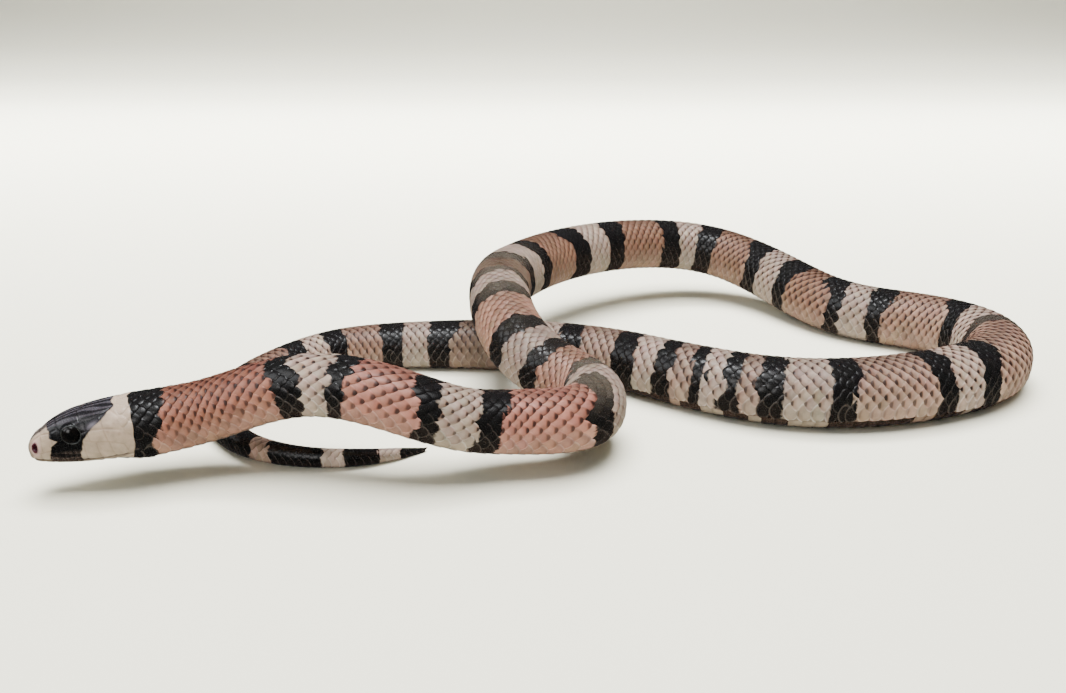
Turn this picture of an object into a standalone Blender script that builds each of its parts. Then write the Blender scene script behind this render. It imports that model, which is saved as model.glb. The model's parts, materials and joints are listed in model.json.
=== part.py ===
"""A milk snake at life size, its rear body flat on the floor and its front raised over it.

The head, the neck, a hairpin behind the neck and a stretch that crosses over the rear body stand a
few millimetres clear of the floor. The form is worked in millimetres and written to Blender in metres. +Z is up, the head points to -X,
and the origin is under the middle of the animal, on the floor that its belly rests on.
"""

import math

import bmesh
import bpy
from mathutils import Vector

MM = 0.001
GAP = 0.3

HEAD_LENGTH = 17.5
BODY_SIDES = 22
RING_STEP = 2.8

BACK_HEIGHT = 0.92
BACK_ROUNDNESS = 2.1
BELLY_ROUNDNESS = 2.9
BELLY_SHARE = 0.42
BELLY_DEPTH = 0.436
TIP_REACH = 2.2

# Places in the head are a distance from the snout, then to the side, then over the head's axis.
EYE_PLACE = (6.75, 2.3, 2.2)
EYE_RADIUS = 1.6
EYE_MESH = (28, 16)
SOCKET_RADIUS = EYE_RADIUS + GAP
SOCKET_MESH = (24, 14)
NOSTRIL_PLACE = (1.3, 2.15, 0.85)
NOSTRIL_RADIUS = 0.45
NOSTRIL_MESH = (12, 8)

# The belly's line over the floor from the back of the head to the tail tip: x, y and lift.
# The points steer a smooth curve, and a lift of 0 lies on the floor. MIDDLE moves them all, so
# that the middle of the animal's box is over the origin.
MIDDLE = (0.2, -0.05, 0.0)
ROUTE = [
    (-65.1, -45.0, 4.5), (-57.5, -42.7, 5.4), (-50.1, -42.3, 8.1), (-42.6, -42.7, 9.8),
    (-34.5, -45.1, 9.4), (-27.5, -46.1, 7.0), (-21.2, -45.4, 4.6), (-14.8, -43.6, 3.7),
    (-8.1, -43.0, 3.3), (-2.8, -40.5, 3.0), (-0.6, -34.3, 3.1), (-3.1, -29.1, 3.2),
    (-8.8, -25.3, 4.3), (-13.4, -19.6, 6.4), (-16.3, -11.2, 8.6), (-17.5, -3.1, 10.2),
    (-17.1, 5.0, 10.3), (-15.2, 12.0, 9.7), (-12.2, 19.0, 9.3), (-8.2, 25.5, 9.1),
    (-3.0, 31.5, 8.9), (3.0, 37.0, 8.6), (9.8, 41.5, 8.2), (17.0, 44.8, 7.6),
    (24.5, 46.5, 6.8), (32.5, 45.5, 5.6), (39.0, 41.5, 4.0), (44.0, 35.5, 2.6),
    (48.0, 28.5, 1.4), (52.0, 21.5, 0.4), (57.5, 15.5, 0.0), (64.5, 11.8, 0.0),
    (71.5, 7.5, 0.0), (76.2, 1.0, 0.0), (76.0, -7.0, 0.0), (72.0, -14.0, 0.0),
    (65.5, -19.0, 0.0), (58.0, -22.5, 0.0), (50.5, -25.0, 0.0), (42.5, -26.5, 0.0),
    (34.5, -26.5, 0.0), (26.5, -24.5, 0.0), (19.5, -20.5, 0.0), (13.0, -16.0, 0.0),
    (7.0, -11.0, 0.0), (0.0, -6.5, 0.0), (-7.5, -3.5, 0.0), (-15.0, -1.5, 0.0),
    (-23.0, -0.5, 0.0), (-31.0, -0.3, 0.0), (-39.0, -0.5, 0.0), (-47.0, -1.5, 0.0),
    (-53.8, -5.6, 0.0), (-59.3, -11.5, 0.0), (-63.0, -18.0, 0.0), (-64.0, -25.5, 0.0),
    (-61.5, -32.5, 0.0), (-56.5, -38.2, 0.0), (-50.0, -41.6, 0.0), (-42.0, -42.8, 0.0),
    (-34.0, -41.5, 0.0), (-27.5, -37.5, 0.0),
]

# Width of the body at a distance behind the head.
WIDTHS = [
    (0.0, 9.8), (8.0, 9.5), (30.0, 9.4), (42.0, 9.4), (58.0, 9.85), (75.0, 10.2), (93.0, 10.9),
    (122.0, 11.6), (182.0, 11.8), (277.0, 11.9), (318.0, 11.5), (357.0, 10.1), (394.0, 8.4),
    (410.0, 6.9), (424.0, 5.4), (434.0, 4.5), (442.0, 3.7), (450.0, 3.15), (458.0, 2.7),
    (464.0, 1.9), (469.0, 0.7),
]

# The head from the snout back: distance, half width, height over its axis and depth under it.
HEAD_SECTIONS = [
    (0.4, 1.35, 1.3, 1.3), (1.2, 2.0, 2.2, 1.8), (2.2, 2.4, 2.8, 2.15), (3.6, 2.85, 3.6, 2.5),
    (5.1, 3.25, 4.25, 2.8), (6.75, 3.7, 4.65, 3.05), (9.0, 4.3, 4.85, 3.25), (11.5, 4.75, 4.95, 3.5),
    (13.5, 5.05, 4.95, 3.95), (15.5, 5.0, 4.95, 4.3), (17.5, 4.9, 4.9, 4.12),
]
HEAD_ROUNDNESS = 2.4
HEAD_SIDES = 28
HEAD_RINGS = 22
SNOUT_CROWDING = 1.5

# The line between the lips in side view: distance from the snout and height over the head's axis.
MOUTH_LINE = [(-1.0, -1.0), (1.0, -1.15), (4.0, -1.6), (8.0, -1.75), (12.0, -1.5), (15.6, -0.75)]
CUTTER_REACH = 9.0
JAW_CORNER_RUN = 1.0

# Where each length of the body ends, as a distance behind the head.
LENGTHS = [
    ("neck", 34.0), ("body_01", 69.0), ("body_02", 104.0), ("body_03", 138.0), ("body_04", 172.0),
    ("body_05", 206.0), ("body_06", 242.0), ("body_07", 272.0), ("body_08", 304.0),
    ("body_09", 336.0), ("body_10", 366.0), ("body_11", 394.0), ("tail_01", 422.0),
    ("tail_02", 446.0), ("tail_tip", None),
]

SALMON = (0.60, 0.27, 0.20)
SALMON_BROWN = (0.45, 0.27, 0.19)
CREAM = (0.66, 0.58, 0.50)
BLACK = (0.02, 0.02, 0.022)


def clear_scene():
    for thing in list(bpy.data.objects):
        bpy.data.objects.remove(thing, do_unlink=True)


def finish_material(name, colour, roughness):
    material = bpy.data.materials.new(name)
    material.use_nodes = True
    shader = material.node_tree.nodes["Principled BSDF"]
    shader.inputs["Base Color"].default_value = (*colour, 1.0)
    shader.inputs["Roughness"].default_value = roughness
    shader.inputs["Metallic"].default_value = 0.0
    return material


def between(table, place, column):
    """The value in one column of a table whose first column is a rising distance."""
    if place <= table[0][0]:
        return table[0][column]
    for low, high in zip(table, table[1:]):
        if place <= high[0]:
            share = (place - low[0]) / (high[0] - low[0])
            return low[column] + (high[column] - low[column]) * share
    return table[-1][column]


def steered(points, place):
    """A point of the cubic B-spline that the points steer; whole numbers are at its knots."""
    index = min(int(place), len(points) - 2)
    t = place - index
    last = len(points) - 1
    before = points[index - 1] if index > 0 else 2 * points[0] - points[1]
    after = points[index + 2] if index + 2 <= last else 2 * points[last] - points[last - 1]
    weights = ((1 - t) ** 3, 3 * t**3 - 6 * t**2 + 4, -3 * t**3 + 3 * t**2 + 3 * t + 1, t**3)
    four = (before, points[index], points[index + 1], after)
    return sum((point * weight for point, weight in zip(four, weights)), Vector()) / 6


def trace_route(steps_per_point=24):
    """The belly line as close points, with the distance of each behind the head."""
    points = [Vector(point) + Vector(MIDDLE) for point in ROUTE]
    steps = (len(points) - 1) * steps_per_point
    line = [steered(points, step / steps_per_point) for step in range(steps + 1)]
    reach = [0.0]
    for low, high in zip(line, line[1:]):
        reach.append(reach[-1] + (high - low).length)
    return line, reach


LINE, REACH = trace_route()
BODY_LENGTH = REACH[-1]


def on_line(distance):
    """The belly point at a distance behind the head, and the line's direction there."""
    low, high = 0, len(REACH) - 2
    while low < high:
        middle = (low + high + 1) // 2
        if REACH[middle] <= distance:
            low = middle
        else:
            high = middle - 1
    step = LINE[low + 1] - LINE[low]
    share = (distance - REACH[low]) / (REACH[low + 1] - REACH[low])
    earlier = LINE[max(low - 1, 0)]
    later = LINE[min(low + 2, len(LINE) - 1)]
    return LINE[low] + step * share, (later - earlier).normalized()


def frame_at(distance):
    """Belly point, direction to the tail, direction to the animal's left and direction up."""
    point, along = on_line(distance)
    left = along.cross(Vector((0, 0, 1))).normalized()
    return point, along, left, left.cross(along)


def body_ring(distance):
    """One cross section of the body: a loaf with a round back and a flat belly."""
    point, _, left, up = frame_at(distance)
    width = between(WIDTHS, distance, 1)
    ring = []
    for side in range(BODY_SIDES):
        angle = 2 * math.pi * side / BODY_SIDES + math.pi / 2
        across, height = math.cos(angle), math.sin(angle)
        if height >= 0:
            power = 2 / BACK_ROUNDNESS
            rise = (BACK_HEIGHT - BELLY_SHARE) * height**power
        else:
            power = 2 / BELLY_ROUNDNESS
            rise = -min(BELLY_DEPTH * abs(height) ** power, BELLY_SHARE)
        spread = math.copysign(abs(across) ** power, across)
        ring.append(point + left * (spread * width / 2) + up * ((rise + BELLY_SHARE) * width))
    return ring


def loft(name, rings, tip=None, start=None):
    """A closed mesh through the rings, with flat ends, or a point before the first or after the last."""
    mesh = bmesh.new()
    loops = [[mesh.verts.new(point * MM) for point in ring] for ring in rings]
    count = len(rings[0])
    for low, high in zip(loops, loops[1:]):
        for side in range(count):
            other = (side + 1) % count
            mesh.faces.new((low[side], high[side], high[other], low[other]))
    for loop, point in ((loops[0], start), (loops[-1], tip)):
        if point is None:
            mesh.faces.new(loop)
            continue
        peak = mesh.verts.new(point * MM)
        for side in range(count):
            mesh.faces.new((loop[side], loop[(side + 1) % count], peak))
    bmesh.ops.recalc_face_normals(mesh, faces=mesh.faces)
    data = bpy.data.meshes.new(name)
    mesh.to_mesh(data)
    mesh.free()
    thing = bpy.data.objects.new(name, data)
    bpy.context.scene.collection.objects.link(thing)
    return thing


def smooth(thing, degrees=45):
    thing.data.shade_smooth()
    thing.data.set_sharp_from_angle(angle=math.radians(degrees))


def make_lengths():
    """The neck, the body and the tail, cut square to their line with a thin gap between them."""
    colours = (SALMON, SALMON_BROWN)
    begin = GAP
    for number, (name, end) in enumerate(LENGTHS):
        stop = BODY_LENGTH - TIP_REACH if end is None else end - GAP / 2
        count = max(2, round((stop - begin) / RING_STEP))
        places = [begin + (stop - begin) * step / count for step in range(count + 1)]
        rings = [body_ring(place) for place in places]
        tip = None
        if end is None:
            point, _, _, up = frame_at(BODY_LENGTH)
            tip = point + up * (BELLY_SHARE * between(WIDTHS, BODY_LENGTH, 1))
        thing = loft(name, rings, tip)
        smooth(thing)
        thing.data.materials.append(finish_material(f"{name}_skin", colours[number % 2], 0.4))
        begin = stop + GAP


POINT, ALONG, LEFT, UP = frame_at(0.0)
HEAD_AXIS = POINT + UP * (BELLY_SHARE * between(WIDTHS, 0.0, 1))


def in_head(distance, across, height):
    """A point of the head: distance from the snout, to the animal's left, and over the axis."""
    return HEAD_AXIS + ALONG * (distance - HEAD_LENGTH) + LEFT * across + UP * height


def head_ring(distance):
    half = between(HEAD_SECTIONS, distance, 1)
    rise = between(HEAD_SECTIONS, distance, 2)
    depth = between(HEAD_SECTIONS, distance, 3)
    power = 2 / HEAD_ROUNDNESS
    ring = []
    for side in range(HEAD_SIDES):
        angle = 2 * math.pi * side / HEAD_SIDES + math.pi / 2
        across = math.copysign(abs(math.cos(angle)) ** power, math.cos(angle))
        height = math.copysign(abs(math.sin(angle)) ** power, math.sin(angle))
        ring.append(in_head(distance, half * across, (rise if height > 0 else depth) * height))
    return ring


def head_form(name):
    """The whole head before the mouth parts it, from the snout's tip to the neck."""
    first, last = HEAD_SECTIONS[0][0], HEAD_LENGTH
    places = []
    for step in range(HEAD_RINGS + 1):
        share = step / HEAD_RINGS
        places.append(first + (last - first) * share**SNOUT_CROWDING)
    return loft(name, [head_ring(place) for place in places], start=in_head(0.0, 0.0, 0.0))


def jaw_block(name, shift):
    """A block under the line of the mouth, moved up and back by the shift."""
    profile = [(place, height + shift) for place, height in MOUTH_LINE]
    back = MOUTH_LINE[-1][0] + shift
    profile[-1] = (back, profile[-1][1])
    profile += [(back + JAW_CORNER_RUN, -CUTTER_REACH), (MOUTH_LINE[0][0], -CUTTER_REACH)]
    sides = (CUTTER_REACH, -CUTTER_REACH)
    rings = [[in_head(place, side, height) for place, height in profile] for side in sides]
    block = loft(name, rings)
    block.hide_render = True
    block.display_type = "WIRE"
    return block


def ball(name, place, radius, mesh_counts):
    segments, rings = mesh_counts
    bpy.ops.mesh.primitive_uv_sphere_add(
        segments=segments, ring_count=rings, radius=radius * MM, location=in_head(*place) * MM)
    thing = bpy.context.object
    thing.name = name
    thing.data.name = name
    return thing


def cut(thing, cutter, operation):
    """Apply one exact Boolean with the cutter, and remove the cutter."""
    modifier = thing.modifiers.new("cut", "BOOLEAN")
    modifier.operation = operation
    modifier.solver = "EXACT"
    modifier.object = cutter
    bpy.context.view_layer.objects.active = thing
    bpy.ops.object.modifier_apply(modifier=modifier.name)
    bpy.data.objects.remove(cutter, do_unlink=True)


def mirrored(place, sign):
    return (place[0], place[1] * sign, place[2])


def make_head():
    """The skull with its upper lip, its eye sockets and nostrils, and the lower jaw."""
    head = head_form("head")
    cut(head, jaw_block("mouth_space", GAP / 2), "DIFFERENCE")
    for sign in (1, -1):
        socket = ball("socket", mirrored(EYE_PLACE, sign), SOCKET_RADIUS, SOCKET_MESH)
        cut(head, socket, "DIFFERENCE")
        nostril = ball("nostril", mirrored(NOSTRIL_PLACE, sign), NOSTRIL_RADIUS, NOSTRIL_MESH)
        cut(head, nostril, "DIFFERENCE")
    smooth(head)
    head.data.materials.append(finish_material("head_skin", CREAM, 0.4))

    jaw = head_form("lower_jaw")
    cut(jaw, jaw_block("jaw_space", -GAP / 2), "INTERSECT")
    smooth(jaw)
    jaw.data.materials.append(finish_material("lower_jaw_skin", CREAM, 0.4))


def make_eyes():
    for name, sign in (("eye_left", 1), ("eye_right", -1)):
        eye = ball(name, mirrored(EYE_PLACE, sign), EYE_RADIUS, EYE_MESH)
        eye.data.shade_smooth()
        eye.data.materials.append(finish_material(f"{name}_gloss", BLACK, 0.08))


clear_scene()
make_lengths()
make_head()
make_eyes()
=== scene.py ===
# %% [markdown]
# # A milk snake, scale by scale
# The real animal is a young milk snake, half a metre long, with salmon, black and cream bands. Its
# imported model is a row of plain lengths, so this lesson dresses it: one skin from snout to tail tip,
# about five thousand overlapping scales, the broad belly scutes, and a pair of glossy eyes.
# Everything is worked in millimetres on the same belly line as the solids, and written in metres.

import json
import math

import bmesh
import bpy
import numpy as np
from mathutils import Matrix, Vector, kdtree

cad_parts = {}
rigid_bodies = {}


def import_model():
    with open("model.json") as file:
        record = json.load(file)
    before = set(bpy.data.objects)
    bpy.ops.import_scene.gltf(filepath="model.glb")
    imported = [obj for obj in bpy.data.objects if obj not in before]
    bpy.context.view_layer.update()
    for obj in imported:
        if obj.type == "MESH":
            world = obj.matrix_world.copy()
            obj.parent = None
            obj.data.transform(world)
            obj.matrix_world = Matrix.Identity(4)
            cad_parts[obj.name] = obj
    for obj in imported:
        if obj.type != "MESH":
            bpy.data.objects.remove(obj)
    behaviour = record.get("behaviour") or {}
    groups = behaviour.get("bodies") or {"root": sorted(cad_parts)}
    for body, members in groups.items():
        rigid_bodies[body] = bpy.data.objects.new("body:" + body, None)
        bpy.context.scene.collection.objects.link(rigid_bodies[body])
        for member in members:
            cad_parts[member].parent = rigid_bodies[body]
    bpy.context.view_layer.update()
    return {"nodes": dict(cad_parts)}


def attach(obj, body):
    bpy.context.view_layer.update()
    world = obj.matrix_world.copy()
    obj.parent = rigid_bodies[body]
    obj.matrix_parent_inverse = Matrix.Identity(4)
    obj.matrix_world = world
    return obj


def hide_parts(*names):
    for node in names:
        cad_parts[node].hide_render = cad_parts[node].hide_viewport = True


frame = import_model()
MM = 0.001

# %% [markdown]
# ## The camera
# A photographer stood over the table and looked a little down at the snake. The real view has almost
# no lens blur, so depth of field stays off. A long lens from further away would flatten the loops, so
# the camera stands close, at the height and tilt that make the near coil as much wider as it looks.

# %% Place the camera
CAMERA_PLACE = (-10.8, -164.05, 64.73)
CAMERA_TILT = 69.5
LENS = 30.36

camera_data = bpy.data.cameras.new("camera")
camera_data.lens = LENS
camera_data.sensor_width = 36.0
camera_data.clip_start = 0.005
camera = bpy.data.objects.new("camera", camera_data)
camera.location = Vector(CAMERA_PLACE) * MM
camera.rotation_euler = (math.radians(CAMERA_TILT), 0.0, 0.0)
bpy.context.scene.collection.objects.link(camera)
bpy.context.scene.camera = camera
print("camera at", [round(value, 4) for value in camera.location])

# %% [markdown]
# ## Materials from short helpers
# Each finish is a Principled shader with a few texture nodes in front of it. Writing every link by
# hand hides the idea, so one helper adds a node and fills its sockets, by value or by link.

# %% Node helpers
def new_material(name):
    """A material with an empty Principled shader, its tree and the shader."""
    material = bpy.data.materials.new(name)
    material.use_nodes = True
    tree = material.node_tree
    return material, tree, tree.nodes["Principled BSDF"]


def node(tree, kind, settings=None, **sockets):
    """Add one node; a socket is given by its name or number, and takes a value or another socket."""
    made = tree.nodes.new(kind)
    for name, value in (settings or {}).items():
        setattr(made, name, value)
    for name, value in sockets.items():
        key = int(name[1:]) if name[0] == "i" and name[1:].isdigit() else name.replace("_", " ")
        fill(tree, made.inputs[key], value)
    return made


def fill(tree, socket, value):
    if isinstance(value, bpy.types.NodeSocket):
        tree.links.new(value, socket)
    elif isinstance(value, tuple) and socket.type == "RGBA":
        socket.default_value = (*value, 1.0)
    else:
        socket.default_value = value


def maths(tree, operation, first, second=0.0, clamp=False):
    settings = {"operation": operation, "use_clamp": clamp}
    return node(tree, "ShaderNodeMath", settings, i0=first, i1=second).outputs[0]


def times(tree, first, second, clamp=False):
    return maths(tree, "MULTIPLY", first, second, clamp)


def ramp(tree, value, low, high, out_low=0.0, out_high=1.0):
    """Ease a value from one range to another, clamped at both ends."""
    made = node(tree, "ShaderNodeMapRange", {"interpolation_type": "SMOOTHSTEP"}, Value=value,
                From_Min=low, From_Max=high, To_Min=out_low, To_Max=out_high)
    return made.outputs[0]


def mix_colour(tree, share, first, second, blend="MIX"):
    settings = {"data_type": "RGBA", "blend_type": blend}
    return node(tree, "ShaderNodeMix", settings, i0=share, i6=first, i7=second).outputs[2]


def noise(tree, place, scale, detail=3.0):
    return node(tree, "ShaderNodeTexNoise", None, Vector=place, Scale=scale, Detail=detail).outputs[0]


def bump(tree, height, strength, distance):
    return node(tree, "ShaderNodeBump", None, Strength=strength, Distance=distance, Height=height).outputs[0]


def attribute(tree, name):
    return node(tree, "ShaderNodeAttribute", {"attribute_name": name})


def object_place(tree):
    return node(tree, "ShaderNodeTexCoord").outputs["Object"]


print("node helpers are ready")

# %% [markdown]
# ## Floor and light
# The snake lies on one pale sheet that curves up behind it, as on a studio table. A flat plane would
# show its far edge, so the sheet is one profile with a wide bend. The light is soft: a big panel
# hangs overhead and a little behind, so the shadows lie almost under the body, and a wide panel
# brightens the backdrop. Mirrored in a glossy back, such panels and a pale floor would wash out its
# colours. So they light matt surfaces only, the floor isn't mirrored, and two smaller panels that
# show only as shine give the scales their highlights.

# %% Lay the floor
FLOOR_WIDTH = 20000.0
FLOOR_FRONT = -10000.0
BEND_START = 560.0
BEND_RADIUS = 900.0
BEND_STEPS = 12
WALL_HEIGHT = 1600.0
FLOOR_DROP = 0.02
PAPER_TONES = ((0.80, 0.79, 0.65), (0.84, 0.83, 0.70))
PAPER_CLOUD = 6.0
PAPER_GRAIN = 900.0


def link_mesh(name, points, faces):
    """A new smooth object from world points in mm and faces."""
    data = bpy.data.meshes.new(name)
    data.from_pydata([tuple(point) for point in (points * MM).tolist()], [], faces)
    data.shade_smooth()
    thing = bpy.data.objects.new(name, data)
    bpy.context.scene.collection.objects.link(thing)
    return thing


def floor_profile():
    """Distances back and up along the sheet, from its front edge to its top."""
    points = [(FLOOR_FRONT, -FLOOR_DROP), (0.0, -FLOOR_DROP)]
    for step in range(BEND_STEPS + 1):
        angle = math.radians(90 * step / BEND_STEPS)
        back = BEND_START + BEND_RADIUS * math.sin(angle)
        points.append((back, BEND_RADIUS * (1 - math.cos(angle)) - FLOOR_DROP))
    points.append((BEND_START + BEND_RADIUS, WALL_HEIGHT))
    return points


def lay_floor():
    points = [(side, *pair) for side in (-FLOOR_WIDTH / 2, FLOOR_WIDTH / 2) for pair in floor_profile()]
    count = len(points) // 2
    faces = [(i, i + 1, count + i + 1, count + i) for i in range(count - 1)]
    thing = link_mesh("floor", np.array(points), faces)
    thing.data.flip_normals()
    return thing


def paper_finish():
    material, tree, shader = new_material("floor_paper")
    tone = mix_colour(tree, noise(tree, object_place(tree), PAPER_CLOUD), *PAPER_TONES)
    fill(tree, shader.inputs["Base Color"], tone)
    grain = noise(tree, object_place(tree), PAPER_GRAIN)
    fill(tree, shader.inputs["Normal"], bump(tree, grain, 0.05, 0.0002))
    shader.inputs["Roughness"].default_value = 0.55
    return material


floor = lay_floor()
floor.data.materials.append(paper_finish())
floor.visible_glossy = False
print("floor bends up from", BEND_START, "mm")

# %% Hang the lights
PANELS = {
    "key_panel": dict(place=(0, 70, 900), target=(0, 20, 0), size=740, power=33.0,
                      colour=(1.0, 0.985, 0.955), shows="matt"),
    "fill_panel": dict(place=(-260, -560, 330), target=(0, 0, 5), size=300, power=1.0,
                       colour=(1.0, 0.99, 0.98)),
    "window_panel": dict(place=(-600, -220, 420), target=(-70, -40, 5), size=480, power=1.7,
                         colour=(0.95, 0.98, 1.0)),
    "back_panel": dict(place=(0, 365, 560), target=(0, 365, 0), size=400, width=1500, power=15.5,
                       colour=(1.0, 1.0, 0.98), spread=74, shows="matt"),
    "gloss_panel": dict(place=(-40, -240, 820), target=(0, 0, 0), size=420, power=2.1,
                        colour=(0.97, 0.99, 1.0), shows="shine"),
    "glint_panel": dict(place=(-160, -100, 860), target=(0, 0, 0), size=110, power=2.0,
                        colour=(0.95, 0.98, 1.0), shows="shine"),
}
SKY = (0.93, 0.95, 0.96)
SKY_STRENGTH = 0.065


def hang_panel(name, place, target, size, power, colour, width=None, spread=180, shows="both"):
    """A square or wide area light that faces its target, with a narrow or wide spread.

    It can light matt surfaces only, or only be mirrored in shiny ones.
    """
    data = bpy.data.lights.new(name, "AREA")
    data.spread = math.radians(spread)
    data.shape = "RECTANGLE"
    data.size = (width or size) * MM
    data.size_y = size * MM
    data.energy = power
    data.color = colour
    thing = bpy.data.objects.new(name, data)
    thing.visible_glossy = shows != "matt"
    thing.visible_diffuse = shows != "shine"
    thing.location = Vector(place) * MM
    direction = Vector(target) - Vector(place)
    thing.rotation_euler = direction.to_track_quat("-Z", "Y").to_euler()
    bpy.context.scene.collection.objects.link(thing)


for name, panel in PANELS.items():
    hang_panel(name, **panel)
world = bpy.data.worlds.new("studio")
world.use_nodes = True
backdrop = world.node_tree.nodes["Background"]
backdrop.inputs["Color"].default_value = (*SKY, 1.0)
backdrop.inputs["Strength"].default_value = SKY_STRENGTH
bpy.context.scene.world = world
print(len(PANELS), "panels and a pale sky")

# %% [markdown]
# ## The belly line
# A snake's pose is one line: where its belly runs over the floor, with the lifts where a stretch is
# raised. These are the same steering points as the solids have, and a cubic B-spline rounds them.
# A Blender curve could carry it, but numbers are needed at every scale, so numpy traces it here.

# %% Trace the belly line
MIDDLE = (0.2, -0.05, 0.0)
ROUTE = [
    (-65.1, -45.0, 4.5), (-57.5, -42.7, 5.4), (-50.1, -42.3, 8.1), (-42.6, -42.7, 9.8),
    (-34.5, -45.1, 9.4), (-27.5, -46.1, 7.0), (-21.2, -45.4, 4.6), (-14.8, -43.6, 3.7),
    (-8.1, -43.0, 3.3), (-2.8, -40.5, 3.0), (-0.6, -34.3, 3.1), (-3.1, -29.1, 3.2),
    (-8.8, -25.3, 4.3), (-13.4, -19.6, 6.4), (-16.3, -11.2, 8.6), (-17.5, -3.1, 10.2),
    (-17.1, 5.0, 10.3), (-15.2, 12.0, 9.7), (-12.2, 19.0, 9.3), (-8.2, 25.5, 9.1),
    (-3.0, 31.5, 8.9), (3.0, 37.0, 8.6), (9.8, 41.5, 8.2), (17.0, 44.8, 7.6),
    (24.5, 46.5, 6.8), (32.5, 45.5, 5.6), (39.0, 41.5, 4.0), (44.0, 35.5, 2.6),
    (48.0, 28.5, 1.4), (52.0, 21.5, 0.4), (57.5, 15.5, 0.0), (64.5, 11.8, 0.0),
    (71.5, 7.5, 0.0), (76.2, 1.0, 0.0), (76.0, -7.0, 0.0), (72.0, -14.0, 0.0),
    (65.5, -19.0, 0.0), (58.0, -22.5, 0.0), (50.5, -25.0, 0.0), (42.5, -26.5, 0.0),
    (34.5, -26.5, 0.0), (26.5, -24.5, 0.0), (19.5, -20.5, 0.0), (13.0, -16.0, 0.0),
    (7.0, -11.0, 0.0), (0.0, -6.5, 0.0), (-7.5, -3.5, 0.0), (-15.0, -1.5, 0.0),
    (-23.0, -0.5, 0.0), (-31.0, -0.3, 0.0), (-39.0, -0.5, 0.0), (-47.0, -1.5, 0.0),
    (-53.8, -5.6, 0.0), (-59.3, -11.5, 0.0), (-63.0, -18.0, 0.0), (-64.0, -25.5, 0.0),
    (-61.5, -32.5, 0.0), (-56.5, -38.2, 0.0), (-50.0, -41.6, 0.0), (-42.0, -42.8, 0.0),
    (-34.0, -41.5, 0.0), (-27.5, -37.5, 0.0),
]
STEPS_PER_POINT = 24
TINY = 1e-12


def trace_line(points):
    """Points of the cubic B-spline that the given points steer."""
    padded = np.vstack([2 * points[0] - points[1], points, 2 * points[-1] - points[-2]])
    spans = len(points) - 1
    place = np.arange(spans * STEPS_PER_POINT + 1) / STEPS_PER_POINT
    index = np.minimum(place.astype(int), spans - 1)
    t = (place - index)[:, None]
    weights = ((1 - t) ** 3, 3 * t**3 - 6 * t**2 + 4, -3 * t**3 + 3 * t**2 + 3 * t + 1, t**3)
    return sum(padded[index + step] * weight for step, weight in enumerate(weights)) / 6


def unit(vectors):
    return vectors / np.maximum(np.linalg.norm(vectors, axis=-1, keepdims=True), TINY)


line = trace_line(np.array(ROUTE) + MIDDLE)
reach = np.concatenate([[0.0], np.cumsum(np.linalg.norm(np.diff(line, axis=0), axis=1))])
heading = unit(np.gradient(line, axis=0))
BODY_LENGTH = reach[-1]
print("body and tail:", round(BODY_LENGTH, 1), "mm")

# %% [markdown]
# ## Cross sections
# The head is a flattened wedge and the body a loaf: round on the back, flat where it lies. Both are
# sections along one axis, so a single chart can cover the animal: a distance behind the head, from
# -17.5 at the snout, and a share of the way round, from 0 on the back to 1 (left) or -1 (right) under
# the belly. Everything later is placed by these two numbers, which keeps the parts in step.

# %% Tables of width and head shape
HEAD_LENGTH = 17.5
HEAD_SECTIONS = [
    (0.0, 0.0, 0.0, 0.0), (0.4, 1.35, 1.3, 1.3), (1.2, 2.0, 2.2, 1.8), (2.2, 2.4, 2.8, 2.15),
    (3.6, 2.85, 3.6, 2.5), (5.1, 3.25, 4.25, 2.8), (6.75, 3.7, 4.65, 3.05), (9.0, 4.3, 4.85, 3.25),
    (11.5, 4.75, 4.95, 3.5), (13.5, 5.05, 4.95, 3.95), (15.5, 5.0, 4.95, 4.3), (17.5, 4.9, 4.9, 4.12),
]
WIDTHS = [
    (0.0, 9.8), (8.0, 9.5), (30.0, 9.4), (42.0, 9.4), (58.0, 9.85), (75.0, 10.2), (93.0, 10.9),
    (122.0, 11.6), (182.0, 11.8), (277.0, 11.9), (318.0, 11.5), (357.0, 10.1), (394.0, 8.4),
    (410.0, 6.9), (424.0, 5.4), (434.0, 4.5), (442.0, 3.7), (450.0, 3.15), (458.0, 2.7),
    (464.0, 1.9), (469.0, 0.7),
]
BELLY_SHARE = 0.42
BELLY_FLATTENING = 0.038
HEAD_ROUNDNESS = 2.4
BACK_ROUNDNESS = 2.1
BELLY_ROUNDNESS = 2.9
NECK_BLEND = (-6.0, 1.0)
BASE_WIDTH = 11.8
HEAD_STATIONS = 240
STATION_STEP = 0.4


def smooth_table(rows, column, place):
    """Values of one column between rows of rising first numbers, on a curve that never overshoots."""
    rows = np.array(rows, float)
    x, y = rows[:, 0], rows[:, column]
    slope = np.diff(y) / np.diff(x)
    both = slope[:-1] * slope[1:]
    middle = np.where(both > 0, 2 * both / (slope[:-1] + slope[1:] + TINY), 0)
    tangent = np.concatenate([[slope[0]], middle, [slope[-1]]])
    place = np.clip(place, x[0], x[-1])
    low = np.clip(np.searchsorted(x, place, side="right") - 1, 0, len(x) - 2)
    gap = x[low + 1] - x[low]
    t = (place - x[low]) / gap
    start = (2 * t**3 - 3 * t**2 + 1) * y[low] + (t**3 - 2 * t**2 + t) * gap * tangent[low]
    end = (3 * t**2 - 2 * t**3) * y[low + 1] + (t**3 - t**2) * gap * tangent[low + 1]
    return start + end


def eased(value, low, high):
    share = np.clip((value - low) / (high - low), 0, 1)
    return share * share * (3 - 2 * share)


def body_width(place):
    return smooth_table(WIDTHS, 1, place)


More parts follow.
